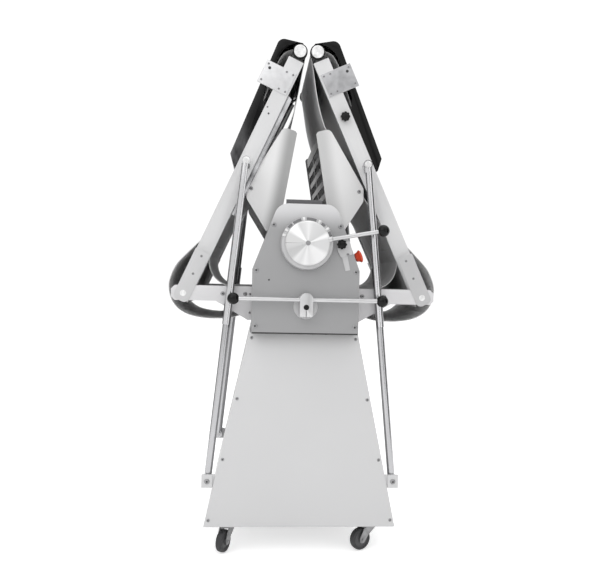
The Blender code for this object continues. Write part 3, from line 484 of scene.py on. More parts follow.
def cover_shell(name, end):
    """A cover's sheet: the head's outline, open below and behind, with a slot for the fixed arms."""
    bm = bmesh.new()
    back_y, front_y = shifted(end * COVER_INNER_Y), shifted(end * COVER_OUTER_Y)
    prism_into(bm, head_outline(), end * COVER_INNER_Y, end * COVER_OUTER_Y)
    for face in list(bm.faces):
        at_back = abs(face.normal.y) > 0.9 and abs(face.calc_center_median().y - back_y) < 1e-4
        at_foot = abs(face.normal.z + 1) < 0.02 and face.calc_center_median().z < 0.73
        if at_back or at_foot:
            bm.faces.remove(face)
    rims = [e for e in bm.edges if all(abs(v.co.y - front_y) < 1e-6 for v in e.verts)]
    rims = [e for e in rims if len(e.link_faces) == 2]
    bmesh.ops.bevel(bm, geom=rims, offset=0.0022, segments=3, profile=0.5, affect="EDGES")
    cover = add_mesh(name + "_shell", bm, GREY_PAINT_WITH_PAINTED_LIGHT)
    skin = cover.modifiers.new("skin", "SOLIDIFY")
    skin.thickness = 0.0025
    skin.offset = -1
    slot = end_box(-0.2, 0.2, ARM_INSIDE_Y, ARM_OUTSIDE_Y, 0.752, 0.8668, end)
    cutter = add_mesh("notch", slot, GREY_PAINT_WITH_PAINTED_LIGHT)
    notch = cover.modifiers.new("notch", "BOOLEAN")
    notch.operation = "DIFFERENCE"
    notch.solver = "EXACT"
    notch.object = cutter
    graph = bpy.context.evaluated_depsgraph_get()
    mesh = bpy.data.meshes.new_from_object(cover.evaluated_get(graph))
    cover.modifiers.clear()
    cover.data = mesh
    bpy.data.objects.remove(cutter)
    return cover


def make_covers():
    for end in (-1, 1):
        name = ENDS[end] + "_cover"
        place(cover_shell(name, end), "machine", name)
        y = end * COVER_OUTER_Y
        spots = []
        for side in (-1, 1):
            spots += [(side * 0.1055, y, 1.0625), (side * 0.1575, y, 0.9187), (side * 0.158, y, 0.743)]
        screws(name + "_screws", spots, "machine", 0.0080, 0.0026, (0, end, 0))
        # A dark strip along each cover's lower edge: painted shade of the gap between cover and base.
        gap_shade = end_box(-0.1685, 0.1685, 0.3465, 0.3835, 0.7190, 0.7230, end)
        place(add_mesh(name + "_gap_shade", gap_shade, PAINTED_SHADE_DARK), "machine")
    # The blank hole is a dark disc: painted shade.
    bm = bmesh.new()
    disc_into(bm, (-0.117, shifted(-COVER_OUTER_Y), 0.889), (0, -1, 0), 0.0028, 0, 0.0006, 16)
    place(add_mesh("cover_blank_hole", bm, PAINTED_SHADE_DARK), "machine")
    dress("head_top_plate", DARK_PAINT, 0.001)
    lip = end_box(-0.066, 0.050, 0.3360, 0.3440, 1.1295, 1.1480, -1, 0.0008)
    place(add_mesh("head_top_lip", lip, DARK_PAINT), "machine")


def make_head_inside():
    finishes = {
        CAST: ("front_side_frame", "rear_side_frame", "roller_carriage"),
        ROLLER: ("lower_sheeting_roller", "upper_sheeting_roller"),
        STEEL: ("lower_scraper", "left_drive_roller", "right_drive_roller", "motor_pulley", "roller_pulley"),
        DARK_PAINT: ("drive_motor",),
        RUBBER: ("drive_belt",),
    }
    for finish, nodes in finishes.items():
        for node in nodes:
            dress(node, finish)


# ---------------------------------------------------------------- thickness dial

def sector(degrees, inner, outer):
    """An (x, z) outline between two radii round the dial's centre."""
    turns = [math.radians(a) for a in degrees]
    rim = [(outer * math.cos(a), DIAL_Z + outer * math.sin(a)) for a in turns]
    return rim + [(inner * math.cos(a), DIAL_Z + inner * math.sin(a)) for a in reversed(turns)]


def sectors(spans, parts, inner, outer, y, bevel):
    """Raised marks on the dial's ring, each over a span of degrees, from its face out to y."""
    bm = bmesh.new()
    for start, stop in spans:
        steps = [start + (stop - start) * i / parts for i in range(parts + 1)]
        prism_into(bm, sector(steps, inner, outer), y, -0.4040, bevel)
    return bm


def make_dial_ring():
    profile = [(0.060, -0.3855), (0.0795, -0.3855), (0.0830, -0.3885), (0.0830, -0.4035), (0.0800, -0.4090),
               (0.0735, -0.4105), (0.060, -0.4105)]
    ring = lathe_y("dial_ring", profile, 0, DIAL_Z, RING_GREY, 96, ring=True)
    place(ring, "machine", "thickness_ring")
    # Dark marks standing in for the notches: painted shade.
    dashes = ((130, 142), (106, 126), (70, 93), (46, 56), (18, 30))
    notches = sectors(dashes, 8, 0.0722, 0.0808, -0.4112, 0.0006)
    place(add_mesh("dial_notches", notches, NOTCH_SHADE_GREY), "machine")
    # The lugs take the bright turned finish: painted highlight.
    stops = [(middle - 2.6, middle + 2.6) for middle in (162, 149, 99.5, 62, 37)]
    lugs = sectors(stops, 4, 0.0712, 0.0826, -0.4124, 0.0008)
    place(add_mesh("dial_lugs", lugs, BRIGHT_END), "machine")
    bm = bmesh.new()
    for i in range(34):
        angle = math.radians(152 + i * 4.2)
        x, z = 0.0826 * math.cos(angle), DIAL_Z + 0.0826 * math.sin(angle)
        rod_into(bm, (x, shifted(-0.4030), z), (x, shifted(-0.3895), z), 0.0012, 8, 0.0003)
    place(add_mesh("dial_knurl", bm, SATIN), "machine")


def make_dial():
    make_dial_ring()
    disc_profile = [(0, -0.4362), (0.0085, -0.4362), (0.016, -0.4355), (0.017, -0.4342), (0.0655, -0.4310),
                    (0.0690, -0.4280), (0.0690, -0.4125), (0.0, -0.4125)]
    disc = lathe_y("dial_disc", disc_profile, 0, DIAL_Z, disc_with_painted_reflections("disc_with_painted_reflections"), 96, angle=25)
    place(disc, "thickness_control", "thickness_lever")
    shaft = lathe_y("dial_shaft", tube_y(-0.4120, -0.329, 0, 0.012), 0, DIAL_Z, STEEL, 24)
    crank = lathe_y("dial_crank", tube_y(-0.3440, -0.3275, 0, 0.021), 0.006, DIAL_Z + 0.001, CAST, 32)
    bolt_profile = [(0, -0.4395), (0.0062, -0.4395), (0.0074, -0.4385), (0.0074, -0.4360), (0, -0.4360)]
    bolt = lathe_y("dial_bolt", bolt_profile, 0, DIAL_Z, SCREW_STEEL_PAINTED_SHADE, 28)
    for piece in (shaft, crank, bolt):
        place(piece, "thickness_control")
    tilt = math.radians(10.7)
    way = Vector((math.cos(tilt), 0, math.sin(tilt)))
    hub = Vector((0, shifted(-0.4245), DIAL_Z))
    bm = bmesh.new()
    rod_into(bm, hub + way * 0.060, hub + way * 0.2255, 0.0063, 32)
    neck = [(0, 0), (0.0085, 0), (0.0085, 0.012), (0.0063, 0.015), (0, 0.015)]
    lathe_into(bm, neck, hub + way * 0.064, way, 28)
    place(add_mesh("dial_lever_rod", bm, SATIN), "thickness_control")
    knob = ball("dial_lever_ball", hub + way * 0.240, way, KNOB_RADIUS)
    place(knob, "thickness_control", "thickness_ball_knob")


def ball(name, centre, axis, radius):
    """A plastic ball knob with the flat where its rod enters."""
    profile = []
    for i in range(25):
        angle = math.pi * i / 24
        reach = radius * math.sin(angle) if 0 < i < 24 else 0
        profile.append((reach, max(-radius * math.cos(angle), -radius * 0.93)))
    bm = bmesh.new()
    lathe_into(bm, profile, centre, axis, 40)
    return add_mesh(name, bm, BLACK_BALL)


def star_into(bm, x, z, y0, y1, radius, lobes=8):
    """A star knob's lobed rim."""
    outline = []
    for i in range(lobes * 12):
        angle = 2 * math.pi * i / (lobes * 12)
        wave = 0.5 + 0.5 * math.cos(lobes * angle)
        reach = radius * (0.82 + 0.18 * wave ** 0.6)
        outline.append((x + reach * math.cos(angle), z + reach * math.sin(angle)))
    prism_into(bm, outline, y0, y1, 0.0014, 3)


def make_stop_bracket():
    bm = bmesh.new()
    upper = [(0.094, 1.014), (0.098, 0.984), (0.109, 0.964), (0.146, 0.975), (0.136, 1.016)]
    upper = rounded(upper, 0.002, 3)
    lower = rounded([(0.112, 0.966), (0.124, 0.921), (0.139, 0.925), (0.129, 0.972)], 0.0015, 3)
    prism_into(bm, lower, -0.3868, -0.3853, 0.0004)
    prism_into(bm, upper, -0.3885, -0.3869, 0.0005)
    paint = tinted("bracket_paint", (0.56, 0.56, 0.565), 0.38, vary=0.04, scale=30)
    place(add_mesh("stop_plates", bm, paint), "machine", "stop_bracket")
    screws("stop_plate_screws", [(0.1305, -0.3885, 0.9745)], "machine", 0.0046, 0.0022)
    bm = bmesh.new()
    star_into(bm, 0.109, 1.005, -0.4075, -0.3940, 0.0158)
    profile = [(0, -0.4098), (0.0060, -0.4098), (0.0085, -0.4080), (0.0085, -0.3886), (0, -0.3886)]
    lathe_y_into(bm, profile, 0.109, 1.005, 28)
    place(add_mesh("stop_star", bm, BLACK_KNOB), "stop_star", "stop_star_knob")


def make_stop_button():
    high = Vector((0.112, 1.074))
    slope = (high - Vector(SHOULDER)).normalized()
    normal = Vector((slope.y, 0, -slope.x))
    spot = Vector(SHOULDER).lerp(high, 0.27)
    start = Vector((spot.x, shifted(-0.338), spot.y)) + normal * 0.0003
    bm = bmesh.new()
    lathe_into(bm, [(0.0084, 0.0002), (0.0155, 0.0002), (0.0155, 0.0026), (0.0145, 0.0034), (0.0084, 0.0034)],
               start, normal, 40, ring=True)
    place(add_mesh("stop_collar", bm, BLACK_KNOB), "machine", "stop_button_collar")
    bm = bmesh.new()
    profile = [(0, 0.0048), (0.0080, 0.0048), (0.0080, 0.0078), (0.0135, 0.0080), (0.0140, 0.0090),
               (0.0150, 0.0140), (0.0175, 0.0190), (0.0203, 0.0222), (0.0204, 0.0240), (0.0192, 0.0262),
               (0.0140, 0.0288), (0.0080, 0.0298), (0, 0.0300)]
    lathe_into(bm, profile, start, normal, 48)
    place(add_mesh("stop_mushroom", bm, RED), "stop_button", "stop_button")


# ---------------------------------------------------------------- direction lever

def make_direction():
    boss_profile = [(0.0104, -0.3853), (0.0385, -0.3853), (0.0385, -0.3895), (0.0365, -0.3920),
                    (0.0104, -0.3920)]
    flange = lathe_y("direction_boss", boss_profile, 0, DIRECTION_Z, FLANGE_PAINT, 64, ring=True)
    place(flange, "machine", "direction_flange")
    bm = bmesh.new()
    clamp = rounded([(-0.0205, 0.776), (-0.0008, 0.776), (-0.0008, 0.796), (0.0008, 0.796), (0.0008, 0.776),
                     (0.0205, 0.776), (0.0205, 0.838), (0.010, 0.850), (-0.010, 0.850), (-0.0205, 0.838)],
                    [0.003, 0, 0, 0, 0, 0.003, 0.008, 0.012, 0.012, 0.008], 5)
    prism_into(bm, clamp, DIRECTION_BAR_Y - 0.014, DIRECTION_BAR_Y + 0.014, 0.0009)
    y = shifted(DIRECTION_BAR_Y)
    left, right = [side * DIRECTION_REACH[side] for side in (-1, 1)]
    rod_into(bm, (left + 0.012, y, DIRECTION_BAR_Z), (right - 0.012, y, DIRECTION_BAR_Z), 0.0068, 36)
    lathe_y_into(bm, tube_y(-0.3960, -0.345, 0, 0.0100), 0, DIRECTION_Z, 28)
    place(add_mesh("direction_bar", bm, SATIN), "direction_control", "direction_lever")
    bolt_profile = [(0, -0.4262), (0.0045, -0.4262), (0.0052, -0.4275), (0.0080, -0.4275), (0.0086, -0.4262),
                    (0.0086, -0.4238), (0, -0.4238)]
    place(lathe_y("direction_bolt", bolt_profile, 0, DIRECTION_Z, BLACK_KNOB, 32), "direction_control")
    for side, x in ((-1, left), (1, right)):
        name = SIDES[side] + "_direction"
        knob = ball(name + "_ball", (x, y, DIRECTION_BAR_Z), (side, 0, 0), KNOB_RADIUS)
        place(knob, "direction_control", name + "_knob")


# ---------------------------------------------------------------- arms and tables

def make_fixed_arms():
    for side in (-1, 1):
        name = SIDES[side]
        dress(name + "_arm_frame", ARM_PAINT, 0.0010)
        for end in (-1, 1):
            y = end * 0.305
            spots = [(side * 0.265, y, 0.841), (side * 0.192, y, 0.841)]
            screws(f"{name}_{ENDS[end]}_arm_screws", spots, "machine", 0.0068, 0.0035, (0, end, 0))
            small = [(side * 0.1765, y, 0.841), (side * 0.1765, y, 0.780)]
            screws(f"{name}_{ENDS[end]}_gusset_screws", small, "machine", 0.0040, 0.0022, (0, end, 0))


def along_table(side):
    """A position mask: the distance up a folded table from its hinge."""
    up = (-side * math.cos(FOLD), 0, math.sin(FOLD))
    return along(up, up[0] * side * HINGE_X + up[2] * HINGE_Z)


def make_hinge_end(side, end, body, strap_paint):
    """The strap, its screws and the pin's head at a table's hinge."""
    tag = f"{SIDES[side]}_{ENDS[end]}"
    spots = spots_on_table(side, [(0.133, 0.002), (0.070, 0.002)], end * STRAP_Y)
    screws(tag + "_strap_screws", spots, body, 0.0044, 0.0006, (0, end, 0))
    cap_y = STRAP_Y + 0.0005
    boss_profile = [(0, 0.3000), (0.0098, 0.3000), (0.0098, STRAP_Y), (0.0085, cap_y), (0, cap_y)]
    boss_profile = [(r, end * y) for r, y in boss_profile]
    place(lathe_y(tag + "_hinge_boss", boss_profile, side * HINGE_X, HINGE_Z, BRIGHT_END, 40), body)
    strap = rounded([(-0.0262, -0.0262), (0.150, -0.0262), (0.150, 0.0262), (-0.0262, 0.0262)],
                    [0.018, 0.001, 0.001, 0.018], 6)
    bm = bmesh.new()
    prism_into(bm, table_outline(side, strap), end * (STRAP_Y - 0.0013), end * STRAP_Y, 0.0003)
    place(add_mesh(tag + "_hinge_strap", bm, strap_paint), body)


def make_tray_holder(side, end, body):
    """The plate that carries the tray's far end, its screws, and the holes and screw in the arm."""
    tag = f"{SIDES[side]}_{ENDS[end]}"
    plate = bmesh.new()
    corners = table_outline(side, [(0.728, -0.084), (0.806, -0.084), (0.806, 0.021), (0.728, 0.021)])
    prism_into(plate, corners, end * 0.2808, end * HOLDER_Y, 0.0003)
    # The right holders take a darker copy of the zinc: painted shade.
    place(add_mesh(tag + "_tray_holder", plate, ZINC if side < 0 else ZINC_PAINTED_SHADE), body)
    holes = [(0.737, -0.010), (0.798, -0.010), (0.737, 0.013), (0.798, 0.013), (0.739, -0.075),
             (0.796, -0.075)]
    spots = spots_on_table(side, holes, end * HOLDER_Y)
    screws(tag + "_holder_screws", spots, body, 0.0036, 0.0018, (0, end, 0))
    # The holes are dark discs: painted shade.
    dots = bmesh.new()
    marks = [(0.785, -0.066, HOLDER_Y, 0.0048)]
    if side < 0:
        marks.append((0.650, -0.0054, TABLE_ARM_Y, 0.0030))
    for u, v, y, radius in marks:
        x, z = on_table(side, u, v)
        disc_into(dots, (x, shifted(end * y), z), (0, end, 0), radius, 0, 0.0007, 20)
    place(add_mesh(tag + "_arm_holes", dots, PAINTED_SHADE_DARK), body)
    if side < 0:
        spots = spots_on_table(side, [(0.668, -0.018)], end * TABLE_ARM_Y)
        screws(tag + "_arm_screw", spots, body, 0.0030, 0.0014, (0, end, 0))


def make_table(side):
    name = SIDES[side]
    body = name + "_table"
    from_hinge = along_table(side)
    paint = tinted(name + "_table_paint", (0.70, 0.70, 0.705), 0.38, vary=0.02, scale=4, bump=0.015)
    mixed_by(paint, from_hinge, (0.98, 0.98, 0.98), (1, 1, 1), 0.15, 0.60)
    mixed_by(paint, from_hinge, (1, 1, 1), (0.045, 0.045, 0.045), 0.8502, 0.8506)
    dress(name + "_table_frame", paint, 0.0008)
    # The left straps are lighter than the right: painted light and shade on one paint.
    strap_painted_tone = 0.60 if side < 0 else 0.52
    strap_paint = tinted(name + "_strap_paint", (strap_painted_tone, strap_painted_tone, strap_painted_tone + 0.005), 0.42)
    edge_finish = tinted(name + "_bright_strip", (0.42, 0.42, 0.43), 0.22, metal=0.85, vary=0.55, scale=16)
    for end in (-1, 1):
        make_hinge_end(side, end, body, strap_paint)
        if side < 0:
            bm = bmesh.new()
            strip = rounded([(0.300, 0.0268), (0.735, 0.0268), (0.728, 0.0425), (0.300, 0.0425)], 0.001, 3)
            prism_into(bm, table_outline(side, strip), end * 0.2642, end * 0.2655, 0.0003)
            place(add_mesh(f"{name}_{ENDS[end]}_edge_strip", bm, edge_finish), body)
        make_tray_holder(side, end, body)
        x, z = on_table(side, STRUT_U, 0)
        spot = (x, shifted(end * STRUT_NUT_Y), z)
        nut = bmesh.new()
        disc_into(nut, spot, (0, end, 0), 0.0115, 0, 0.0016, 32)
        disc_into(nut, spot, (0, end, 0), 0.0088, 0.0016, 0.0052, 6)
        place(add_mesh(f"{name}_{ENDS[end]}_strut_nut", nut, BRIGHT_END), body)
    make_end_roller(side)
    make_tray(side)


def make_end_roller(side):
    name = SIDES[side]
    x, z = on_table(side, TABLE_LENGTH, 0)
    profile = [(0, -0.2868), (0.0190, -0.2868), (0.0205, -0.2855), (0.0205, -0.2786), (0.0080, -0.2786),
               (0.0080, -0.2625), (0.0195, -0.2625), (0.0195, 0.2625), (0.0080, 0.2625), (0.0080, 0.2786),
               (0.0205, 0.2786), (0.0205, 0.2855), (0.0190, 0.2868), (0, 0.2868)]
    roller = lathe_y(name + "_nose_roller", profile, x, z, BRIGHT_END, 64)
    place(roller, name + "_end_roller", name + "_end_roller")
    for end in (-1, 1):
        rim = tube_y(end * 0.2782, end * 0.2832, 0.0212, 0.0245)
        rim_name = f"{name}_{ENDS[end]}_roller_rim"
        place(lathe_y(rim_name, rim, x, z, BLACK_KNOB, 64, ring=True), name + "_table")


def make_tray(side):
    name = SIDES[side]
    skin = 0.0024
    outer = [(0.444, -0.0330), (0.477, -0.0614), (0.8905, -0.0792), (0.9090, -0.0020)]
    inner = [(0.9066, -0.0020), (0.8885, -0.0792 + skin), (0.4785, -0.0614 + skin), (0.4465, -0.0315)]
    bm = bmesh.new()
    skin_outline = rounded(outer + inner, [0.001, 0.006, 0.024, 0.0008, 0.0008, 0.0218, 0.004, 0.0008], 10)
    prism_into(bm, table_outline(side, skin_outline), -0.2764, 0.2764)
    cheek = [(0.444, -0.0330), (0.477, -0.0614), (0.8905, -0.0792), (0.9040, -0.0235), (0.8975, -0.0240),
             (0.882, -0.0400), (0.858, -0.0525), (0.826, -0.0575), (0.790, -0.0560), (0.700, -0.0480),
             (0.660, -0.0268), (0.460, -0.0268)]
    cheek = rounded(cheek, [0.001, 0.006, 0.024, 0.001, 0.001, 0.02, 0.03, 0.04, 0.04, 0.02, 0.002, 0.001], 8)
    for end in (-1, 1):
        prism_into(bm, table_outline(side, cheek), end * 0.2738, end * 0.2769, 0.0008)
    tray = add_mesh(name + "_tray_shell", bm, TRAY_BLACK if side > 0 else tray_with_painted_reflections())
    place(tray, name + "_table", name + "_catch_tray")


def tray_with_painted_reflections():
    """The left tray's finish: black at its far end, with painted reflections as wavy grey lights over its
    near half.
    """
    finish = tinted("left_tray_painted_reflections", (0.11, 0.11, 0.113), 0.2, vary=0.75, scale=26, bump=0.01,
                    stretch=(1.0, 0.2, 0.35), specular=0.2)
    return mixed_by(finish, along_table(-1), (1, 1, 1), (0.05, 0.05, 0.05), 0.50, 0.62)


def make_struts():
    for side in (-1, 1):
        for end in (-1, 1):
            stem = f"{SIDES[side]}_{ENDS[end]}_strut_"
            # The rear sleeves take a darker copy of the chrome: painted shade.
            dress(stem + "sleeve", CHROME if end < 0 else CHROME_PAINTED_SHADE)
            dress(stem + "rod", ROD_CHROME)


def make_guards():
    for side in (-1, 1):
        name = SIDES[side]
        # The two guards take lighter and darker tones of one paint, and each darkens towards its inner edge:
        # painted light and shade.
        tone = 0.84 if side < 0 else 0.80
        paint = tinted(name + "_guard_paint_with_painted_shade", (tone, tone, tone), 0.36, vary=0.02, scale=4, bump=0.01)
        inner = 0.45 if side < 0 else 0.72
        foot = (side * 0.060, 0, 1.130)
        outward = (side * 0.985, 0, 0.165)
        start = foot[0] * outward[0] + foot[2] * outward[2]
        mixed_by(paint, along(outward, start), (inner, inner, inner), (1.0, 1.0, 1.0), 0.030, 0.075)
        # Near black between the guard's side plates: painted shade.
        mixed_by(paint, off_centre, (0.09, 0.09, 0.095), (1, 1, 1), 0.2566, 0.2569)
        dress(name + "_guard", paint)
        for end in (-1, 1):
            spots = [(side * 0.180, end * 0.260, 1.190)]
            screws(f"{name}_{ENDS[end]}_guard_screw", spots, name + "_guard", 0.0062, 0.0040, (0, end, 0))


# ---------------------------------------------------------------- belts

def smooth(points, steps):
    """A curve through the points, as a Catmull-Rom spline."""
    out = []
    for i in range(len(points) - 1):
        p0, p1 = Vector(points[max(i - 1, 0)]), Vector(points[i])
        p2, p3 = Vector(points[i + 1]), Vector(points[min(i + 2, len(points) - 1)])
        for step in range(steps):
            t = step / steps
            q = 0.5 * (2 * p1 + (p2 - p0) * t + (2 * p0 - 5 * p1 + 4 * p2 - p3) * t * t)
            q += 0.5 * (3 * p1 - p0 - 3 * p2 + p3) * t ** 3
            out.append((q.x, q.y))
    out.append(tuple(points[-1]))
    return out


def arc(centre, radius, start, stop, steps):
    angles = [math.radians(start + (stop - start) * i / steps) for i in range(steps + 1)]
    return [(centre[0] + radius * math.cos(a), centre[1] + radius * math.sin(a)) for a in angles]


def belt_strip(name, side, path, outward):
    """A 2 mm belt along an (x, z) path drawn for the left side; outward is 1 for the outer loop."""
    path = [(-side * x, z) for x, z in path]
    flip = outward * -side
    bm = bmesh.new()
    rows = []
    for i, point in enumerate(path):
        before = Vector(path[max(i - 1, 0)])
        after = Vector(path[min(i + 1, len(path) - 1)])
        along = (after - before).normalized()
        normal = Vector((along.y, -along.x)) * flip
        face, back = Vector(point) + normal * 0.001, Vector(point) - normal * 0.001
        rows.append([bm.verts.new((p.x, shifted(y), p.y)) for p, y in
                     ((face, -BELT_HALF), (face, BELT_HALF), (back, BELT_HALF), (back, -BELT_HALF))])
    for a, b in zip(rows, rows[1:]):
        for i in range(4):
            j = (i + 1) % 4
            quad = bm.faces.new((a[i], a[j], b[j], b[i]))
            quad.material_index = {0: 0, 2: 1}.get(i, 2)
    bm.faces.new(rows[0])
    bm.faces.new(rows[-1][::-1])
    obj = add_mesh(name, bm, BELT_FACE if outward > 0 else BELT_TOP, angle=60)
    # The outer strips' backs take the near-white painted light.
    obj.data.materials.append(BELT_BACK_PAINTED_LIGHT if outward > 0 else RUN_BACK)
    obj.data.materials.append(BELT_EDGE)
    length = sum((Vector(q) - Vector(p)).length for p, q in zip(path, path[1:]))
    return obj, length


def make_belt(side):
    """One side's belt as strips: each rides the machine or the table."""
    name = SIDES[side]

    def strip(tag, path, outward, body, held, rests_on, *nodes):
        piece, length = belt_strip(f"{name}_belt_{tag}", side, path, outward)
        place(piece, body, *nodes)
        return piece

    table = name + "_table"
    wrap = arc((-DRIVE_X, DRIVE_Z), 0.0257, 90, -90, 20)
    head = [(-0.225, 0.8613), (-0.17, 0.8608)] + wrap + [(-0.13, 0.799)]
    strip("head", smooth(head, 2), -1, "machine", "stretched", "drive_roller", name + "_belt")
    inner = [on_table(-1, 0.190, 0.0222), (-0.313, 0.985), (-0.3145, 0.954), (-0.311, 0.925), (-0.300, 0.900),
             (-0.283, 0.8815), (-0.262, 0.8700), (-0.240, 0.8635), (-0.225, 0.8613)]
    loop = strip("inner_loop", smooth(inner, 5), -1, "machine", "hung", "table_frame")
    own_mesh(loop)
    hanging = [(-0.0084, 1.6370), (-0.018, 1.585), (-0.036, 1.482), (-0.063, 1.396), (-0.105, 1.322),
               (-0.150, 1.250), (-0.196, 1.172)]
    hanging += [on_table(-1, u, v) for u, v in ((0.320, 0.0300), (0.250, 0.0225), (0.190, 0.0222))]
    run = strip("inner_run", smooth(hanging, 6), -1, table, "hung", "nose_roller")
    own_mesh(run)
    nose = arc(on_table(-1, TABLE_LENGTH, 0), 0.0208, -8, 132, 20)
    strip("nose", nose, 1, table, "stretched", "nose_roller")
    back = [(0.861, -0.0445), (0.8300, -0.0515), (0.79, -0.0515), (0.74, -0.0460), (0.66, -0.0380),
            (0.56, -0.0290), (0.45, -0.0220), (0.30, -0.0205), (0.192, -0.0220)]
    back = [(-0.0431, 1.6557)] + [on_table(-1, u, v) for u, v in back]
    rear = strip("outer_run", smooth(back, 6), 1, table, "hung", "nose_roller")
    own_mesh(rear)
    outer = [on_table(-1, 0.192, -0.0220), (-0.380, 0.978), (-0.420, 0.934), (-0.4400, 0.890),
             (-0.4445, 0.860), (-0.4380, 0.826), (-0.4220, 0.797), (-0.395, 0.7760), (-0.363, 0.7640),
             (-0.320, 0.7575), (-0.284, 0.7570), (-0.241, 0.760), (-0.2046, 0.7707), (-0.165, 0.7860),
             (-0.13, 0.799)]
    slack = strip("outer_loop", smooth(outer, 6), 1, "machine", "hung", "table_frame")
    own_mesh(slack)
    for u0, v, tag, outward in ((-0.026, BED_V, "bed_strip", -1), (0.030, RETURN_V, "return_strip", 1)):
        path = [on_table(-1, 0.200 + (u0 - 0.200) * i / 12, v) for i in range(13)]
        strip(tag, path, outward, table, "stretched", "table_frame")
    lead = [(-0.352, 0.8606), (-0.30, 0.8606), (-0.26, 0.8606), (-0.224, 0.8610)]
    strip("lead_strip", lead, 1, "machine", "stretched", "arm_frame")


# ---------------------------------------------------------------- casters

def make_caster(side, end):
    stem = f"{SIDES[side]}_{ENDS[end]}"
    pivot = Vector((side * CASTER_SPOT[0], shifted(end * CASTER_SPOT[1]), 0))
    turn = Matrix.Rotation(math.radians(CASTER_TURNS[side, end]), 4, "Z")
    move = Matrix.Translation(pivot) @ turn
    axle = Vector((0.032, 0, 0.036))
    bm = bmesh.new()
    race = [(0.0066, 0.0738), (0.0240, 0.0738), (0.0262, 0.0752), (0.0262, 0.0790), (0.0225, 0.0802),
            (0.0218, 0.0832), (0.0190, 0.0855), (0.0066, 0.0855)]
    lathe_into(bm, race, (0, 0, 0), (0, 0, 1), 48, ring=True)
    cheek = rounded([(-0.022, 0.0752), (0.026, 0.0752), (0.0435, 0.042), (0.0415, 0.026), (0.027, 0.026),
                     (0.012, 0.048)], [0.002, 0.004, 0.010, 0.006, 0.006, 0.014], 5)
    for face in (-1, 1):
        prism_into(bm, cheek, face * 0.0148 - SHIFT, face * 0.0178 - SHIFT)
    rod_into(bm, (axle.x, -0.0205, axle.z), (axle.x, 0.0205, axle.z), 0.0044, 20)
    bm.transform(move)
    fork_finish = tinted(
        stem + "_fork_steel", (0.27, 0.27, 0.275), 0.34, metal=0.5, vary=0.25, scale=60, bump=0.05)
    place(add_mesh(stem + "_fork", bm, fork_finish), stem + "_swivel", stem + "_caster_fork")
    bm = bmesh.new()
    tyre = [(0.0265, -0.0108), (0.0310, -0.0110), (0.0338, -0.0102), (0.0354, -0.0074), (0.0360, -0.0030),
            (0.0360, 0.0030), (0.0354, 0.0074), (0.0338, 0.0102), (0.0310, 0.0110), (0.0265, 0.0108)]
    lathe_into(bm, tyre, axle, (0, 1, 0), 64, ring=True)
    bm.transform(move)
    place(add_mesh(stem + "_tyre", bm, RUBBER), stem + "_wheel", stem + "_caster_wheel")
    bm = bmesh.new()
    hub = [(0.0049, -0.0132), (0.0105, -0.0132), (0.0115, -0.0085), (0.0235, -0.0070), (0.0264, -0.0095),
           (0.0264, 0.0095), (0.0235, 0.0070), (0.0115, 0.0085), (0.0105, 0.0132), (0.0049, 0.0132)]
    lathe_into(bm, hub, axle, (0, 1, 0), 48, ring=True)
    bm.transform(move)
    place(add_mesh(stem + "_hub", bm, HUB_GREY), stem + "_wheel")


# ---------------------------------------------------------------- table lock

def make_table_lock():
    x, z = on_table(1, 0.649, 0)
    bm = bmesh.new()
    star_into(bm, x, z, -0.2985, -0.2850, 0.0160)
    profile = [(0, -0.3005), (0.0065, -0.3005), (0.0088, -0.2990), (0.0088, -0.2783), (0, -0.2783)]
    lathe_y_into(bm, profile, x, z, 28)
    place(add_mesh("table_lock_star", bm, BLACK_KNOB), "table_lock", "table_lock_knob")


# ---------------------------------------------------------------- studio

def make_camera():
    camera = bpy.data.objects.new("camera", bpy.data.cameras.new("camera"))
    bpy.context.scene.collection.objects.link(camera)
    camera.data.sensor_width = 36
    camera.data.lens = 39.93
    camera.data.clip_end = 100
    yaw, pitch, roll = (math.radians(a) for a in (-4.11, -1.19, -1.30))
    aim = Matrix.Rotation(yaw, 4, "Z") @ Matrix.Rotation(pitch, 4, "X") @ Matrix.Rotation(roll, 4, "Y")
    spot = Matrix.Translation((-0.1543, -2.488, 0.8959))
    camera.matrix_world = spot @ aim @ Matrix.Rotation(math.pi / 2, 4, "X")
    bpy.context.scene.camera = camera


def aim_at(obj, where, target):
    obj.location = where
    obj.rotation_euler = (Vector(target) - Vector(where)).to_track_quat("-Z", "Y").to_euler()


def add_light(name, where, target, size, energy):
    data = bpy.data.lights.new(name, "AREA")
    data.shape = "RECTANGLE"
    data.size, data.size_y = size
    data.energy = energy
    light = bpy.data.objects.new(name, data)
    bpy.context.scene.collection.objects.link(light)
    aim_at(light, where, target)


def background_rays(tree):
    """1 for camera, glossy and transmission rays, so that metal shows the picture's background too."""
    path = add_node(tree, "LightPath", {})
    seen = path.outputs["Is Camera Ray"]
    for kind in ("Is Glossy Ray", "Is Transmission Ray"):
        either = add_node(tree, "Math", {0: seen, 1: path.outputs[kind]}, operation="MAXIMUM")
        seen = either.outputs["Value"]
    return seen


def lift_for_camera(material, strength):
    """Adds light to a background surface as the camera and gloss see it, so that it reads white."""
    tree = material.node_tree
    amount = add_node(tree, "Math", {0: background_rays(tree), 1: strength}, operation="MULTIPLY")
    light = {"Emission Strength": amount.outputs["Value"], "Emission Color": (1, 1, 1, 1)}
    wire(tree, tree.nodes["Principled BSDF"], light)


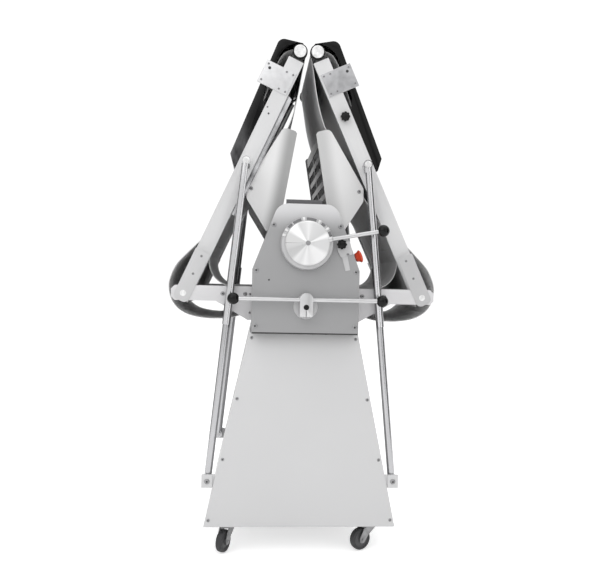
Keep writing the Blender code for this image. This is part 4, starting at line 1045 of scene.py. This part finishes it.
def add_flag(name, where, target, width, height):
    """A dark card that only shows in reflections, so that chrome has something to mirror."""
    bm = bmesh.new()
    corners = [(-1, -1), (1, -1), (1, 1), (-1, 1)]
    bm.faces.new([bm.verts.new((x * width / 2, y * height / 2, 0)) for x, y in corners])
    flag = add_mesh(name, bm, tinted(name + "_cloth", (0.02, 0.02, 0.02), 0.9), smooth=False)
    aim_at(flag, where, target)
    flag.visible_camera = False
    flag.visible_diffuse = False
    flag.visible_shadow = False
    flag.visible_transmission = False


def make_studio():
    world = bpy.data.worlds.new("studio")
    bpy.context.scene.world = world
    world.use_nodes = True
    tree = world.node_tree
    fill = wire(tree, tree.nodes["Background"], {"Color": (1, 1, 1, 1), "Strength": 0.76})
    seen = add_node(tree, "Background", {"Color": (1, 1, 1, 1), "Strength": 1.05})
    shades = {"Fac": background_rays(tree), 1: fill.outputs["Background"], 2: seen.outputs["Background"]}
    mix = add_node(tree, "MixShader", shades)
    wire(tree, tree.nodes["World Output"], {"Surface": mix.outputs["Shader"]})
    bm = bmesh.new()
    bmesh.ops.create_grid(bm, x_segments=1, y_segments=1, size=20)
    floor_finish = tinted("floor_white", (0.93, 0.93, 0.93), 0.9, vary=0.004, bump=0.0)
    lift_for_camera(floor_finish, 0.50)
    floor = add_mesh("studio_floor", bm, floor_finish, smooth=False)
    floor.location.z = -0.0005
    add_light("key", (-2.2, -3.0, 3.2), (0, 0, 0.8), (2.4, 2.4), 24)
    add_light("front_fill", (1.8, -4.0, 1.6), (0, 0, 0.8), (3.0, 2.2), 9)
    add_light("top", (0, 0.2, 4.0), (0, 0, 0.8), (3.0, 3.0), 18)
    add_light("floor_wash", (0, -1.5, 4.5), (0, -0.5, 0), (6.0, 6.0), 44)
    add_flag("flag_front", (0.9, -3.4, 1.0), (0, 0, 1.0), 0.55, 3.2)
    add_flag("flag_right", (2.6, -0.9, 1.0), (0, 0, 1.0), 1.5, 3.2)
    add_flag("flag_left", (-2.8, 0.4, 1.0), (0, 0, 1.0), 1.2, 3.2)
    bpy.context.scene.view_settings.view_transform = "Standard"


make_cabinet()
make_gland()
make_covers()
make_head_inside()
make_dial()
make_stop_bracket()
make_stop_button()
make_direction()
make_fixed_arms()
make_struts()
make_guards()
make_table_lock()
for table_side in (-1, 1):
    make_table(table_side)
    make_belt(table_side)
    for table_end in (-1, 1):
        make_caster(table_side, table_end)
make_camera()
make_studio()
